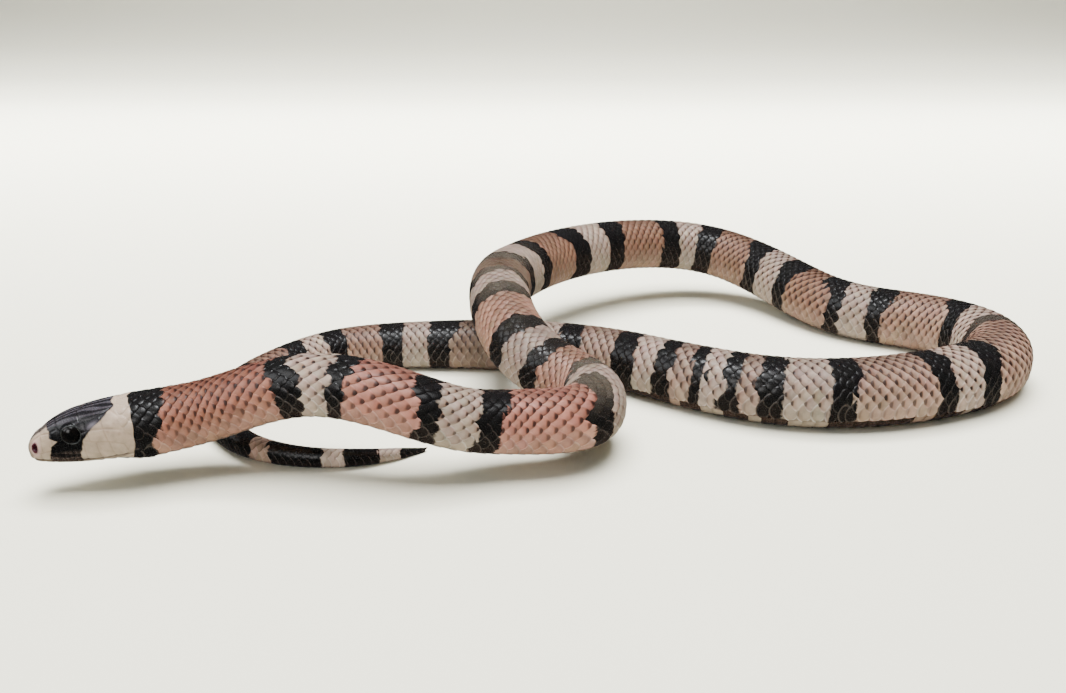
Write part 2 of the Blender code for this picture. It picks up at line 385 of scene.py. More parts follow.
head_rows = [(math.sqrt(row[0]), *row[1:]) for row in HEAD_SECTIONS]
on_head = HEAD_LENGTH * (np.linspace(0, 1, HEAD_STATIONS)[:-1] ** 2 - 1)
stations = np.concatenate([on_head, np.arange(0, BODY_LENGTH, STATION_STEP), [BODY_LENGTH]])
from_snout = np.sqrt(np.clip(stations + HEAD_LENGTH, 0, HEAD_LENGTH))
on_body = stations >= 0
station_width = body_width(stations)
half_width = np.where(on_body, station_width / 2, smooth_table(head_rows, 1, from_snout))
rise = np.where(on_body, station_width / 2, smooth_table(head_rows, 2, from_snout))
depth = np.where(on_body, station_width * BELLY_SHARE, smooth_table(head_rows, 3, from_snout))
print("stations along the animal:", len(stations))

# %% Unroll each section by its arc length
CHART_STEPS = 96
SECTION_STEPS = 240


def unroll_sections():
    """Across and up for even steps round each section, from the back to the belly, with normals."""
    bodily = eased(stations, *NECK_BLEND)[:, None]
    back_power = 2 / (HEAD_ROUNDNESS + (BACK_ROUNDNESS - HEAD_ROUNDNESS) * bodily)
    belly_power = 2 / (HEAD_ROUNDNESS + (BELLY_ROUNDNESS - HEAD_ROUNDNESS) * bodily)
    angle = np.linspace(0, np.pi, SECTION_STEPS + 1)[None]
    sine, cosine = np.abs(np.sin(angle)), np.abs(np.cos(angle))
    upper = angle <= np.pi / 2
    across = half_width[:, None] * np.where(upper, sine**back_power, sine**belly_power)
    under = depth[:, None] * np.minimum((1 + BELLY_FLATTENING * bodily) * cosine**belly_power, 1)
    up = np.where(upper, rise[:, None] * cosine**back_power, -under)
    arc = np.cumsum(np.hypot(np.diff(across, axis=1), np.diff(up, axis=1)), axis=1)
    arc = np.hstack([np.zeros((len(stations), 1)), arc])
    even = np.linspace(0, 1, CHART_STEPS + 1)
    share = arc / np.maximum(arc[:, -1:], TINY)
    across = np.array([np.interp(even, *pair) for pair in zip(share, across)])
    up = np.array([np.interp(even, *pair) for pair in zip(share, up)])
    run, fall = np.gradient(across, axis=1), np.gradient(up, axis=1)
    length = np.hypot(run, fall) + TINY
    return across, up, -fall / length, run / length, arc[:, -1]


def along_line(table):
    """A table of the belly line read at every station; the head keeps the values of the neck."""
    return np.stack([np.interp(np.maximum(stations, 0), reach, column) for column in table.T], axis=1)


SECTION = unroll_sections()
half_girth = SECTION[4]
belly = along_line(line)
along = unit(along_line(heading))
left = unit(np.cross(along, (0.0, 0.0, 1.0)))
upward = np.cross(left, along)
axis_line = belly + upward * (BELLY_SHARE * station_width)[:, None] + along * np.minimum(stations, 0)[:, None]


def on_chart(place, turn, height=0.0):
    """World points, in mm, for distances behind the head, shares round and heights over the form."""
    place, turn = np.broadcast_arrays(np.asarray(place, float), np.asarray(turn, float))
    row = np.interp(place, stations, np.arange(len(stations)))
    low = np.minimum(row.astype(int), len(stations) - 2)
    part = row - low
    column = np.minimum(np.abs(turn), 1) * CHART_STEPS
    near = np.minimum(column.astype(int), CHART_STEPS - 1)
    rest = column - near
    corners = (
        (0, 0, (1 - part) * (1 - rest)), (1, 0, part * (1 - rest)),
        (0, 1, (1 - part) * rest), (1, 1, part * rest),
    )
    across, up, out, out_up = (
        sum(table[low + i, near + j] * weight for i, j, weight in corners) for table in SECTION[:4])
    far = part[..., None]
    centre, side, over = (
        table[low] * (1 - far) + table[low + 1] * far for table in (axis_line, left, upward))
    sideways = (across + out * height) * np.sign(turn)
    return centre + side * sideways[..., None] + over * (up + out_up * height)[..., None]


print("half girth at mid body:", round(float(np.interp(200, stations, half_girth)), 2), "mm")

# %% [markdown]
# ## The markings
# A milk snake wears triads: black, cream, black, between salmon saddles. Painting a texture would
# blur the edges, but the real ones are crisp. So a list says where each band ends, on the back and on
# the flanks, and later each scale asks for its colour. The ends wander a little, they run partly
# through the scales, and every scale draws a small seeded error, which gives the jagged borders. The
# salmon has a few named shades, whose brightness along the body also carries painted light and shade,
# and where a bend stretches the skin, the black of the back is olive. The salmon and cream of the
# back are painted darker than on the flanks, as painted shade.

# %% Bands from head to tail
SALMON, BLACK, CREAM = "salmon", "black", "cream"
# Each band ends at one distance along the back and at another on the flanks.
BANDS = [
    (-2.6, -2.6, CREAM), (1.8, 1.3, BLACK), (18.0, 19.5, SALMON), (21.1, 23.1, BLACK),
    (26.4, 26.9, CREAM), (29.9, 29.2, BLACK), (36.5, 38.0, SALMON), (39.9, 40.9, BLACK),
    (46.4, 46.1, CREAM), (52.3, 50.2, BLACK), (64.6, 62.6, SALMON), (69.9, 65.5, BLACK),
    (73.7, 71.5, CREAM), (76.2, 73.8, BLACK), (81.8, 82.4, SALMON), (85.1, 85.0, BLACK),
    (89.1, 89.5, CREAM), (93.3, 92.6, BLACK), (99.8, 99.9, SALMON), (103.6, 102.9, BLACK),
    (107.6, 106.5, CREAM), (109.3, 109.0, BLACK), (113.4, 114.3, SALMON), (117.4, 119.3, BLACK),
    (124.8, 125.6, CREAM), (129.6, 130.5, BLACK), (139.6, 141.6, SALMON), (146.3, 146.9, BLACK),
    (153.9, 153.8, CREAM), (159.8, 158.6, BLACK), (170.0, 170.3, SALMON), (175.1, 175.4, BLACK),
    (181.1, 180.1, CREAM), (186.1, 185.2, BLACK), (193.8, 196.4, SALMON), (200.1, 201.0, BLACK),
    (205.9, 207.2, CREAM), (212.0, 210.8, BLACK), (217.4, 221.2, SALMON), (223.3, 224.0, BLACK),
    (228.9, 228.3, CREAM), (233.5, 231.2, BLACK), (242.8, 245.2, SALMON), (248.1, 248.9, BLACK),
    (253.1, 256.0, CREAM), (256.6, 260.3, BLACK), (271.3, 273.4, SALMON), (276.3, 277.3, BLACK),
    (282.6, 283.0, CREAM), (287.1, 286.2, BLACK), (298.2, 299.4, SALMON), (302.9, 303.0, BLACK),
    (309.3, 309.3, CREAM), (313.0, 312.9, BLACK), (315.3, 316.1, SALMON), (318.4, 318.5, BLACK),
    (321.3, 321.2, CREAM), (324.0, 323.2, BLACK), (326.8, 326.8, SALMON), (330.4, 329.8, BLACK),
    (335.1, 333.9, CREAM), (339.5, 338.8, BLACK), (347.0, 346.2, SALMON), (351.9, 350.0, BLACK),
    (357.6, 356.6, CREAM), (363.0, 362.4, BLACK), (371.0, 373.2, SALMON), (377.1, 377.7, BLACK),
    (382.6, 382.5, CREAM), (387.2, 386.6, BLACK), (394.2, 394.0, SALMON), (398.6, 398.1, BLACK),
    (402.6, 403.0, CREAM), (406.7, 407.0, BLACK), (413.9, 413.9, SALMON), (419.1, 419.1, BLACK),
    (425.1, 425.1, CREAM), (442.2, 442.6, BLACK), (445.0, 445.8, SALMON), (453.6, 453.2, BLACK),
    (456.7, 456.8, CREAM), (461.6, 461.6, BLACK), (465.1, 464.8, CREAM), (480.0, 480.0, BLACK),
]
BACK_ENDS, FLANK_ENDS = np.array([row[:2] for row in BANDS]).T
BAND_KINDS = np.array([(SALMON, BLACK, CREAM).index(row[2]) for row in BANDS])
BAND_BLACK = np.array((0.0050, 0.0046, 0.0048))
BAND_CREAM = np.array((0.278, 0.218, 0.183))
FADED_BLACK = np.array((0.052, 0.043, 0.034))
BELLY_PALETTE = np.array([(0.26, 0.175, 0.133), (0.034, 0.021, 0.016), (0.26, 0.205, 0.16)])
print("bands:", len(BANDS), "last salmon ends at", BANDS[-6][0], "mm")

# %% Shades along the body
# Each shade is the salmon's hue along one stretch, and its brightness also carries painted light and shade.
# It is darkest at 111 on the crossing, and at 367, where the rear body lies in painted shadow under the
# crossing.
NAPE_SALMON = (0.30, 0.13, 0.09)
ARCH_SALMON = (0.39, 0.18, 0.14)
HAIRPIN_SALMON = (0.38, 0.23, 0.17)
DARKEST_SALMON = (0.16, 0.12, 0.09)
FAR_SALMON = (0.22, 0.13, 0.09)
LOOP_SALMON = (0.40, 0.27, 0.21)
NEAR_SALMON = (0.29, 0.21, 0.17)
REAR_SALMON = (0.27, 0.17, 0.13)
TAIL_SALMON = (0.50, 0.34, 0.27)
SALMON_PLACES = [
    (10, NAPE_SALMON), (30, ARCH_SALMON), (60, ARCH_SALMON), (80, HAIRPIN_SALMON), (97, HAIRPIN_SALMON),
    (111, DARKEST_SALMON), (130, FAR_SALMON), (215, FAR_SALMON), (265, LOOP_SALMON), (280, LOOP_SALMON),
    (310, NEAR_SALMON), (345, NEAR_SALMON), (367, DARKEST_SALMON), (385, REAR_SALMON),
    (415, REAR_SALMON), (445, TAIL_SALMON),
]
# How bright the cream is, by the distance behind the head.
CREAM_SHARES = [
    (0, 1.4), (30, 1.3), (45, 1.07), (90, 0.9), (150, 1.05), (200, 0.93), (240, 1.0), (280, 1.3),
    (306, 1.0), (330, 1.1), (380, 0.9), (400, 1.2), (446, 2.0), (457, 2.4), (464, 1.3),
]
# How far the black of the back has faded, by the distance behind the head.
FADES = [
    (60, 0), (66, 0.8), (76, 0.8), (82, 0.1), (98, 0.2), (102, 0.7), (112, 1), (119, 0.4), (130, 0),
    (248, 0), (254, 0.6), (261, 0.6), (268, 0),
]
# Painted shade: how much darker the back is painted than the flanks, by the share of the way round.
PAINTED_BACK_SHADE = [(0.0, 0.34), (0.07, 0.40), (0.14, 0.50), (0.29, 0.74), (0.45, 1.0), (0.6, 0.9)]
FADE_SPAN = (0.2, 0.45)
BELLY_SPAN = (0.42, 0.74)
BLACK_TO_BELLY = 0.45
PALE_TO_BELLY = 0.6
# Two waves make the borders wander: how fast each runs along and round the body, and its start.
WAVES = ((0.61, 5.3, 0.4), (0.23, -7.7, 0.68))
WANDER = 0.14
FLANK_SPAN = (0.1, 0.38)
NAPE_REACH = 4
NAPE_NARROWING = 2.0
NAPE_SPAN = (0.42, 0.62)


def table_at(rows, place):
    """Straight lines between the rows of a two-column table."""
    return np.interp(place, *zip(*rows))


def wander(place, turn):
    """A slow wave along and round the body, between -1 and 1."""
    return sum(np.sin(place * run + turn * bend + start) for run, bend, start in WAVES) / len(WAVES)


def band_at(place, turn):
    """Which band holds a place of the body: 0 salmon, 1 black, 2 cream."""
    share = eased(np.abs(turn), *FLANK_SPAN)
    flank = np.interp(place, BACK_ENDS, FLANK_ENDS)
    narrowing = NAPE_NARROWING * eased(np.abs(turn), *NAPE_SPAN)
    shifted = flank + (place - flank) * share + WANDER * wander(place, turn)
    shifted = shifted + np.where(np.abs(place) < NAPE_REACH, narrowing, 0.0)
    return BAND_KINDS[np.minimum(np.searchsorted(FLANK_ENDS, shifted), len(BANDS) - 1)]


print("band at mid body, on the back:", BANDS[int(np.searchsorted(BACK_ENDS, 190.0))][2])

# %% Colours of the body
NAPE_FRONT = -2.55
NAPE_BOW = -7.0
NAPE_BOW_TURN = 0.3
NAPE_RIPPLE = 0.06


def collar_gap(place, turn):
    """Distance behind the smooth line where the collar meets the nape."""
    bow = NAPE_BOW * (np.abs(turn) - NAPE_BOW_TURN) ** 2
    return place - NAPE_FRONT - bow - NAPE_RIPPLE * np.sin(turn * 37)


def body_colour(place, turn):
    """Linear colour of skin or scale at chart places on the body, with painted shade on the back, no random
    part.
    """
    place, turn = np.broadcast_arrays(np.asarray(place, float), np.asarray(turn, float))
    kind = band_at(place, turn)
    low = eased(np.abs(turn), *BELLY_SPAN)[..., None]
    along_body, shades = zip(*SALMON_PLACES)
    salmon = np.stack([np.interp(place, along_body, channel) for channel in zip(*shades)], axis=-1)
    cream = BAND_CREAM * table_at(CREAM_SHARES, place)[..., None]
    faded = table_at(FADES, place) * (1 - eased(np.abs(turn), *FADE_SPAN))
    black = BAND_BLACK + (FADED_BLACK - BAND_BLACK) * faded[..., None]
    colour = np.where((kind == 0)[..., None], salmon, np.where((kind == 1)[..., None], black, cream))
    to_belly = np.where(kind == 1, BLACK_TO_BELLY, PALE_TO_BELLY)[..., None]
    colour = colour + (BELLY_PALETTE[kind] - colour) * low * to_belly
    # Painted shade: the table darkens the salmon of the back, its square root the cream, and the black not at
    # all.
    back = table_at(PAINTED_BACK_SHADE, np.abs(turn))
    return colour * np.select([kind == 0, kind == 1], [back, 1.0], np.sqrt(back))[..., None]


print("salmon at mid body:", np.round(body_colour(190.0, 0.3), 3))

# %% [markdown]
# ## Borders between the head's shields
# A snake's head is covered by large plates with fixed names: rostral at the tip, nasals, frontal,
# parietals, labials along the lips, chin shields below. They could be separate plates, but on so
# small a head they are one skin creased along thin lines. So each border is a short chain of chart
# points on the left side, mirrored to the right, and the skin is pressed in along them.

# %% Chains of shield borders
# Each point is a distance from the snout and a share of the way round.
SHIELD_BORDERS = [
    [(0.95, 0.0), (2.3, 0.0), (4.5, 0.0)],
    [(0.95, 0.0), (1.0, 0.15), (0.85, 0.3), (0.7, 0.5), (0.75, 0.66)],
    [(2.3, 0.0), (2.4, 0.21)],
    [(0.85, 0.3), (1.6, 0.22), (2.4, 0.21), (3.6, 0.26), (4.9, 0.25)],
    [(4.5, 0.0), (4.75, 0.125), (6.2, 0.095), (7.7, 0.075), (8.7, 0.0)],
    [(4.75, 0.125), (4.9, 0.25), (5.35, 0.31)],
    [(7.7, 0.075), (8.1, 0.24), (9.3, 0.255), (10.8, 0.23), (12.2, 0.17), (12.9, 0.1), (12.5, 0.0)],
    [(8.7, 0.0), (12.5, 0.0)],
    [(2.4, 0.21), (2.3, 0.53)],
    [(1.4, 0.23), (1.45, 0.54)],
    [(0.72, 0.55), (2.3, 0.53), (3.9, 0.52), (5.3, 0.5), (5.75, 0.46)],
    [(7.75, 0.44), (9.2, 0.48), (11.3, 0.5), (13.3, 0.53)],
    [(3.9, 0.265), (3.9, 0.52)],
    [(1.95, 0.535), (1.9, 0.68)],
    [(3.15, 0.525), (3.1, 0.69)],
    [(4.6, 0.51), (4.5, 0.695)],
    [(6.3, 0.48), (6.2, 0.695)],
    [(8.0, 0.455), (7.9, 0.69)],
    [(9.7, 0.485), (9.75, 0.665)],
    [(11.4, 0.5), (11.6, 0.635)],
    [(13.3, 0.53), (13.6, 0.6)],
    [(9.0, 0.475), (8.8, 0.36), (8.9, 0.25)],
    [(7.9, 0.37), (8.8, 0.36), (11.0, 0.365), (13.3, 0.39)],
    [(10.9, 0.23), (11.0, 0.365), (11.3, 0.5)],
    [(12.2, 0.17), (13.2, 0.26)],
    [(0.5, 0.8), (0.95, 0.88), (1.4, 1.0)],
    [(0.95, 0.88), (2.5, 0.84), (4.5, 0.82), (7.0, 0.81), (9.5, 0.78), (12.0, 0.73), (14.5, 0.66)],
    [(2.0, 0.7), (2.1, 0.85)],
    [(3.2, 0.7), (3.4, 0.83)],
    [(4.6, 0.7), (4.8, 0.82)],
    [(6.3, 0.7), (6.5, 0.81)],
    [(8.1, 0.69), (8.3, 0.79)],
    [(9.9, 0.67), (10.1, 0.77)],
    [(11.7, 0.64), (11.9, 0.73)],
    [(1.4, 1.0), (7.3, 1.0)],
    [(4.4, 0.82), (4.2, 1.0)],
    [(7.0, 0.81), (7.7, 0.9), (7.3, 1.0)],
]
# The mouth runs from under the rostral to the corner behind the last labial.
MOUTH_LINE = [(0.22, 1.0), (0.35, 0.78), (1.0, 0.69), (2.5, 0.695), (4.4, 0.7), (7.0, 0.705), (10.4, 0.695),
              (12.6, 0.665), (14.0, 0.62), (15.4, 0.575)]
CHAIN_STEP = 0.05
# Half way round the head is about this many mm.
HALF_ROUND = 13
SIDE_NUDGE = 1e-6


def chain_points(chain):
    """World points every CHAIN_STEP along a chain of chart points, on the left side and the right."""
    points = []
    for (start, turn), (end, other) in zip(chain, chain[1:]):
        count = max(2, int(max(abs(end - start), abs(other - turn) * HALF_ROUND) / CHAIN_STEP))
        share = np.linspace(0, 1, count)
        place = start + (end - start) * share - HEAD_LENGTH
        around = turn + (other - turn) * share + SIDE_NUDGE
        points += [on_chart(place, around), on_chart(place, -around)]
    return np.vstack(points)


def tree_of(points):
    tree = kdtree.KDTree(len(points))
    for index, point in enumerate(points):
        tree.insert(point, index)
    tree.balance()
    return tree


def distances(tree, points):
    return np.array([tree.find(point)[2] for point in points])


shield_tree = tree_of(np.vstack([chain_points(chain) for chain in SHIELD_BORDERS]))
mouth_tree = tree_of(chain_points(MOUTH_LINE))
print("border chains:", len(SHIELD_BORDERS))

# %% [markdown]
# ## One skin from snout to tail
# Under the scales there is a single skin, and it must show no seam where the solids part. It is woven
# as rings along the chart: close ones on the head, where creases are pressed in, and wider ones on
# the body, which the scales hide. A subdivided cage would round the creases away, so the rings carry
# the final shape themselves.

# %% Weave the rings
HEAD_RINGS = 200
HEAD_SIDES = 224
SIDES_SHARE = 4
BODY_SIDES = HEAD_SIDES // SIDES_SHARE
BODY_RING_STEP = 1.0
COAT_DEPTH = 0.17
SMALLEST_PLATE = 0.12
FINE_STEPS = 2000
COAT_START = [
    (0.0, -4.5), (0.1, -4.5), (0.25, -4.2), (0.4, -4.0), (0.5, -3.2), (0.57, -1.7), (0.64, -2.6),
    (0.7, -4.6), (0.8, -9.0), (1.0, -9.4),
]


def coat_start(turn):
    """Where behind the head the small scales begin, for a share of the way round."""
    return table_at(COAT_START, np.abs(turn))


def plate_size(place):
    """Size of scales and their relief against those at mid body."""
    return np.clip(body_width(place) / BASE_WIDTH, SMALLEST_PLATE, 1.0)


def head_stations():
    """Distances from the snout that are evenly spaced over the head's surface."""
    fine = np.linspace(0, 1, FINE_STEPS) ** 2 * HEAD_LENGTH
    profile = [smooth_table(head_rows, column, np.sqrt(fine)) for column in (1, 2)]
    steps = np.sqrt(np.diff(fine) ** 2 + sum(np.diff(values) ** 2 for values in profile) / 2)
    travelled = np.concatenate([[0], np.cumsum(steps)])
    even = np.linspace(0, travelled[-1], HEAD_RINGS + 1)[1:]
    return np.interp(even, travelled, fine) - HEAD_LENGTH


head_places = head_stations()
body_places = np.arange(BODY_RING_STEP, BODY_LENGTH - 0.3, BODY_RING_STEP)
head_turns = np.linspace(-1, 1, HEAD_SIDES + 1)[:-1]
body_turns = np.linspace(-1, 1, BODY_SIDES + 1)[:-1]
head_grid = np.meshgrid(head_places, head_turns, indexing="ij")
body_grid = np.meshgrid(body_places, body_turns, indexing="ij")
print("head rings", len(head_places), "body rings", len(body_places))

# %% [markdown]
# ## Relief of the head
# Along each border the skin dips by less than a tenth of a millimetre and swells between them, so the
# plates look like cushions. The mouth is a deeper crease. The nostrils are small pits, and round each
# eye the skin steps down under the ball, with a slight brow above it.

# %% Eye and nostril places
EYE_PLACE = (6.75, 2.3, 2.2)
EYE_RADIUS = 1.6
EYE_CHART = (6.7, 0.37)
LID_RADIUS = 1.23
LID_EDGE = 0.16
LID_RIM = 0.05
BROW = 0.11
NOSTRIL_CHART = (1.35, 0.40)
NOSTRIL_SIZE = 0.4
NOSTRIL_DEPTH = 0.45


def in_head(distance, across, height):
    """A point of the head from its own axis: distance from the snout, to the animal's left, and up."""
    neck = int(np.searchsorted(stations, 0.0))
    forward = along[neck] * (distance - HEAD_LENGTH)
    return axis_line[neck] + forward + left[neck] * across + upward[neck] * height


EYES = {}
for side, name in ((1, "eye_left"), (-1, "eye_right")):
    centre = in_head(EYE_PLACE[0], EYE_PLACE[1] * side, EYE_PLACE[2])
    surface = on_chart(EYE_CHART[0] - HEAD_LENGTH, EYE_CHART[1] * side)
    EYES[name] = (centre, unit(surface - centre))
    rise = EYE_RADIUS - float(np.linalg.norm(surface - centre))
    print(name, "stands", round(rise, 2), "mm out of the skin")

# %% Press the relief into the head
BORDER_DEPTH = 0.06
BORDER_WIDTH = 0.11
CUSHION = 0.05
CUSHION_WIDTH = 0.55
MOUTH_DEPTH = 0.28
MOUTH_WIDTH = 0.13
LIP_SWELL = 0.06
LIP_PLACE = 0.4
LIP_WIDTH = 0.22
NOSTRIL_SPAN = (0.55 * NOSTRIL_SIZE, 1.15 * NOSTRIL_SIZE)
NOSTRIL_RIM = 0.05
NOSTRIL_RIM_PLACE = 1.35 * NOSTRIL_SIZE
NOSTRIL_RIM_WIDTH = 0.12
COAT_BLEND = 0.5


def bell(distance, width):
    """1 at no distance, and soon 0 further than the width."""
    return np.exp(-(distance / width) ** 2)


def chart_gap(points, spot, side, stretch=(1.0, 1.0, 1.0)):
    """Distances from a spot of the head's chart, given from the snout, on the left (1) or right (-1)."""
    centre = on_chart(spot[0] - HEAD_LENGTH, spot[1] * side)
    return np.linalg.norm((points - centre) * stretch, axis=-1)


def grid_normals(points):
    """Outward normals of a grid of rings."""
    across = np.roll(points, -1, axis=1) - np.roll(points, 1, axis=1)
    lengthways = np.gradient(points, axis=0)
    return unit(np.cross(across, lengthways))


def head_relief(place, points):
    """Height of the head's skin over its smooth form, with the distances to borders and mouth."""
    flat = points.reshape(-1, 3)
    border = distances(shield_tree, flat).reshape(place.shape)
    mouth = distances(mouth_tree, flat).reshape(place.shape)
    small = eased(place + HEAD_LENGTH, 0.0, 2.0)
    height = -BORDER_DEPTH * bell(border, BORDER_WIDTH)
    height += CUSHION * (1 - np.exp(-border / CUSHION_WIDTH)) * small - CUSHION
    height -= MOUTH_DEPTH * bell(mouth, MOUTH_WIDTH)
    height += LIP_SWELL * bell(mouth - LIP_PLACE, LIP_WIDTH)
    for side in (1, -1):
        gap = chart_gap(points, NOSTRIL_CHART, side)
        height -= NOSTRIL_DEPTH * (1 - eased(gap, *NOSTRIL_SPAN))
        height += NOSTRIL_RIM * bell(gap - NOSTRIL_RIM_PLACE, NOSTRIL_RIM_WIDTH)
    return height, border, mouth


smooth_head = on_chart(*head_grid)
head_normals = grid_normals(smooth_head)
relief, border_gap, mouth_gap = head_relief(head_grid[0], smooth_head)
covered = eased(head_grid[0] - coat_start(head_grid[1]), -COAT_BLEND, COAT_BLEND)
relief = relief * (1 - covered) - COAT_DEPTH * plate_size(head_grid[0]) * covered
head_points = smooth_head + head_normals * relief[..., None]
print("deepest crease:", round(float(relief.min()), 2), "mm")

# %% Seat the eyes
LID_REACH = 1.0
LID_SLOPE = (LID_RADIUS + 0.15, LID_RADIUS + 0.55)
LID_CLEARANCE = 0.02
RIM_PLACE = LID_RADIUS + 0.18
RIM_WIDTH = 0.12
BROW_PLACE = LID_RADIUS + 0.28
BROW_WIDTH = 0.25
SOCKET_DEPTH = 0.3
FAR_FROM_EYE = 9.0


def seat_eye(points, centre, outward):
    """Lower the skin under an eye ball, and raise a thin rim and a brow round it."""
    offset = points - centre
    rise = offset @ outward
    ring = np.linalg.norm(offset - rise[..., None] * outward, axis=-1)
    near = (rise > 0) & (ring < LID_RADIUS + LID_REACH)
    ball = np.sqrt(np.maximum(EYE_RADIUS**2 - ring**2, 0.0))
    slope = eased(ring, *LID_SLOPE)
    level = np.maximum(rise, ball + LID_CLEARANCE) * (1 - slope) + rise * slope
    level += LID_RIM * bell(ring - RIM_PLACE, RIM_WIDTH)
    overhead = np.clip((offset @ upward[0]) / np.maximum(ring, 0.1), 0, 1)
    level += BROW * overhead * bell(ring - BROW_PLACE, BROW_WIDTH)
    sunk = ball - SOCKET_DEPTH
    open_share = eased(ring, LID_RADIUS - LID_EDGE, LID_RADIUS)
    target = sunk + (level - sunk) * open_share
    moved = points + outward * (target - rise)[..., None]
    return np.where(near[..., None], moved, points), np.where(near, ring, FAR_FROM_EYE)


eye_gap = np.full(head_points.shape[:2], FAR_FROM_EYE)
for centre, outward in EYES.values():
    head_points, ring = seat_eye(head_points, centre, outward)
    eye_gap = np.minimum(eye_gap, ring)
print("points under or beside the eyes:", int((eye_gap < FAR_FROM_EYE).sum()))

# %% [markdown]
# ## Colours of the head
# The snout is cream with a wine-dark nostril, and a dark ridge runs along its top to the tip. A black
# hood lies over the crown, with a painted grey sheen in fine streaks and a painted highlight behind the
# eye, and from each eye a black band falls to the lip, where it is browner. Behind it comes the cream
# collar. The borders are drawn slightly brown on cream and blacker on black, as the creases hold dirt
# and shade. The mouth, the snout's tip and the edge of the lower jaw are painted darker, as painted
# shade. All of it could be a painted image, but the head's points lie so close that each can carry its
# own colour.

# %% The hood
HOOD_FRONT = [
    (0.0, 3.2), (0.12, 3.4), (0.22, 3.7), (0.3, 3.65), (0.36, 3.8), (0.41, 4.6), (0.46, 3.7),
    (0.55, 3.25), (0.62, 3.1), (0.7, 3.0),
]
HOOD_REAR = [
    (0.0, 12.3), (0.05, 12.4), (0.14, 12.8), (0.2, 12.0), (0.27, 11.1), (0.36, 9.3), (0.44, 8.2),
    (0.61, 7.3), (0.7, 7.2),
]
HOOD_LOW = 0.77
HOOD_BLUR = 0.06
HOOD_BLACK = np.array((0.004, 0.0038, 0.0045))
# Painted sheen: grey that stands for light mirrored on the glossy shields of the crown.
HOOD_PAINTED_SHEEN = np.array((0.042, 0.038, 0.046))
HOOD_BROWN = np.array((0.060, 0.042, 0.036))
SHEEN_TURN = 0.32
BROWN_SPAN = (0.53, 0.63)
SNOUT_RIDGE = 0.15
RIDGE_REAR = (4.5, 5.5)
RIDGE_DARKNESS = 0.85
STREAK_DARKNESS = 0.85


def blend_to(colour, target, share):
    return colour + (target - colour) * np.asarray(share)[..., None]


def hood_cover(snout, turn):
    """How far the hood and the ridge before it cover a place of the head, from 0 to 1."""
    around = np.abs(turn)
    ragged = 0.05 * np.sin(turn * 43) + 0.04 * np.sin(turn * 97 + 1)
    hood = eased(snout - table_at(HOOD_FRONT, around) + ragged, -HOOD_BLUR, HOOD_BLUR)
    hood *= 1 - eased(snout - table_at(HOOD_REAR, around) + ragged, -HOOD_BLUR, HOOD_BLUR)
    hood *= 1 - eased(around, HOOD_LOW - 0.01, HOOD_LOW)
    ridge = eased(SNOUT_RIDGE - around, 0.0, 0.03) * (1 - eased(snout, *RIDGE_REAR))
    return np.maximum(hood, RIDGE_DARKNESS * ridge)


def hood_colour(snout, around, points):
    """The hood's shades: a painted sheen on the crown broken by fine dark streaks, and brown at the lip."""
    black = np.broadcast_to(HOOD_BLACK, points.shape)
    dark = blend_to(black, HOOD_PAINTED_SHEEN, eased(SHEEN_TURN - around, 0.0, 0.2))
    patchy = 0.75 + 0.25 * np.sin(points[..., 0] * 9)
    dark = blend_to(dark, HOOD_BROWN, eased(around, *BROWN_SPAN) * patchy)
    bent = 0.7 * np.sin(snout * 0.9) + 1.6 * np.sin(around * 31 + snout * 0.6)
    streak = eased(np.sin(around * 95 + bent), -0.5, 0.3)
    return blend_to(dark, HOOD_BLACK * 0.5, streak * STREAK_DARKNESS)


print("hood on the crown:", HOOD_FRONT[0][1], "to", HOOD_REAR[0][1], "mm from the snout")

# %% Paint the head
SNOUT_CREAM = np.array((0.335, 0.258, 0.2))
CHIN_CREAM = np.array((0.29, 0.235, 0.185))
CHIN_SPAN = (0.5, 0.8)
# Painted highlight: a grey patch of mirrored light on the hood behind the eye.
CHEEK_HIGHLIGHT = np.array((0.15, 0.135, 0.17))
CHEEK_PLACE = (9.6, 0.315)
CHEEK_SIZE = (0.8, 0.028)
CHEEK_SLANT = 0.03
NOSTRIL_WINE = np.array((0.045, 0.006, 0.014))
SNOUT_PINK = np.array((0.46, 0.30, 0.30))
NOSTRIL_FLATTENING = (1.0, 1.0, 0.62)
CREASE_BROWN = np.array((0.20, 0.13, 0.085))
# Painted shade on the snout's tip and along the edge of the lower jaw.
LIP_PAINTED_SHADE = np.array((0.06, 0.042, 0.034))
EYE_RIM = np.array((0.040, 0.044, 0.044))
SPOT_PLACES = [(12.6, 0.33), (13.5, 0.30), (11.6, 0.4), (13.0, 0.43)]
SPOT_SIZE = 0.2
# Painted shade: the skin between the scales is painted a fifth darker than the scales over it.
UNDER_SCALES_SHADE = 0.8


def lip_shade_cover(snout, around):
    """How much painted shade darkens the snout's tip and the edge of the lower jaw."""
    tip = (1 - eased(snout, 0.35, 1.0)) * eased(around, 0.0, 0.1)
    edge = eased(around, 0.7, 0.72) * (1 - eased(around, 0.75, 0.82))
    return np.clip(tip + (1 - eased(snout, 8.0, 12.0)) * edge, 0, 1)


def paint_side(colour, points, side):
    """The nostril with its pink rim, and the small spots of the collar."""
    gap = chart_gap(points, NOSTRIL_CHART, side, NOSTRIL_FLATTENING) / NOSTRIL_SIZE
    colour = blend_to(colour, SNOUT_PINK, 0.6 * (1 - eased(gap, 1.5, 2.6)))
    colour = blend_to(colour, NOSTRIL_WINE, 1 - eased(gap, 1.05, 1.6))
    for spot in SPOT_PLACES:
        colour = blend_to(colour, CREASE_BROWN, 0.45 * bell(chart_gap(points, spot, side), SPOT_SIZE))
    return colour


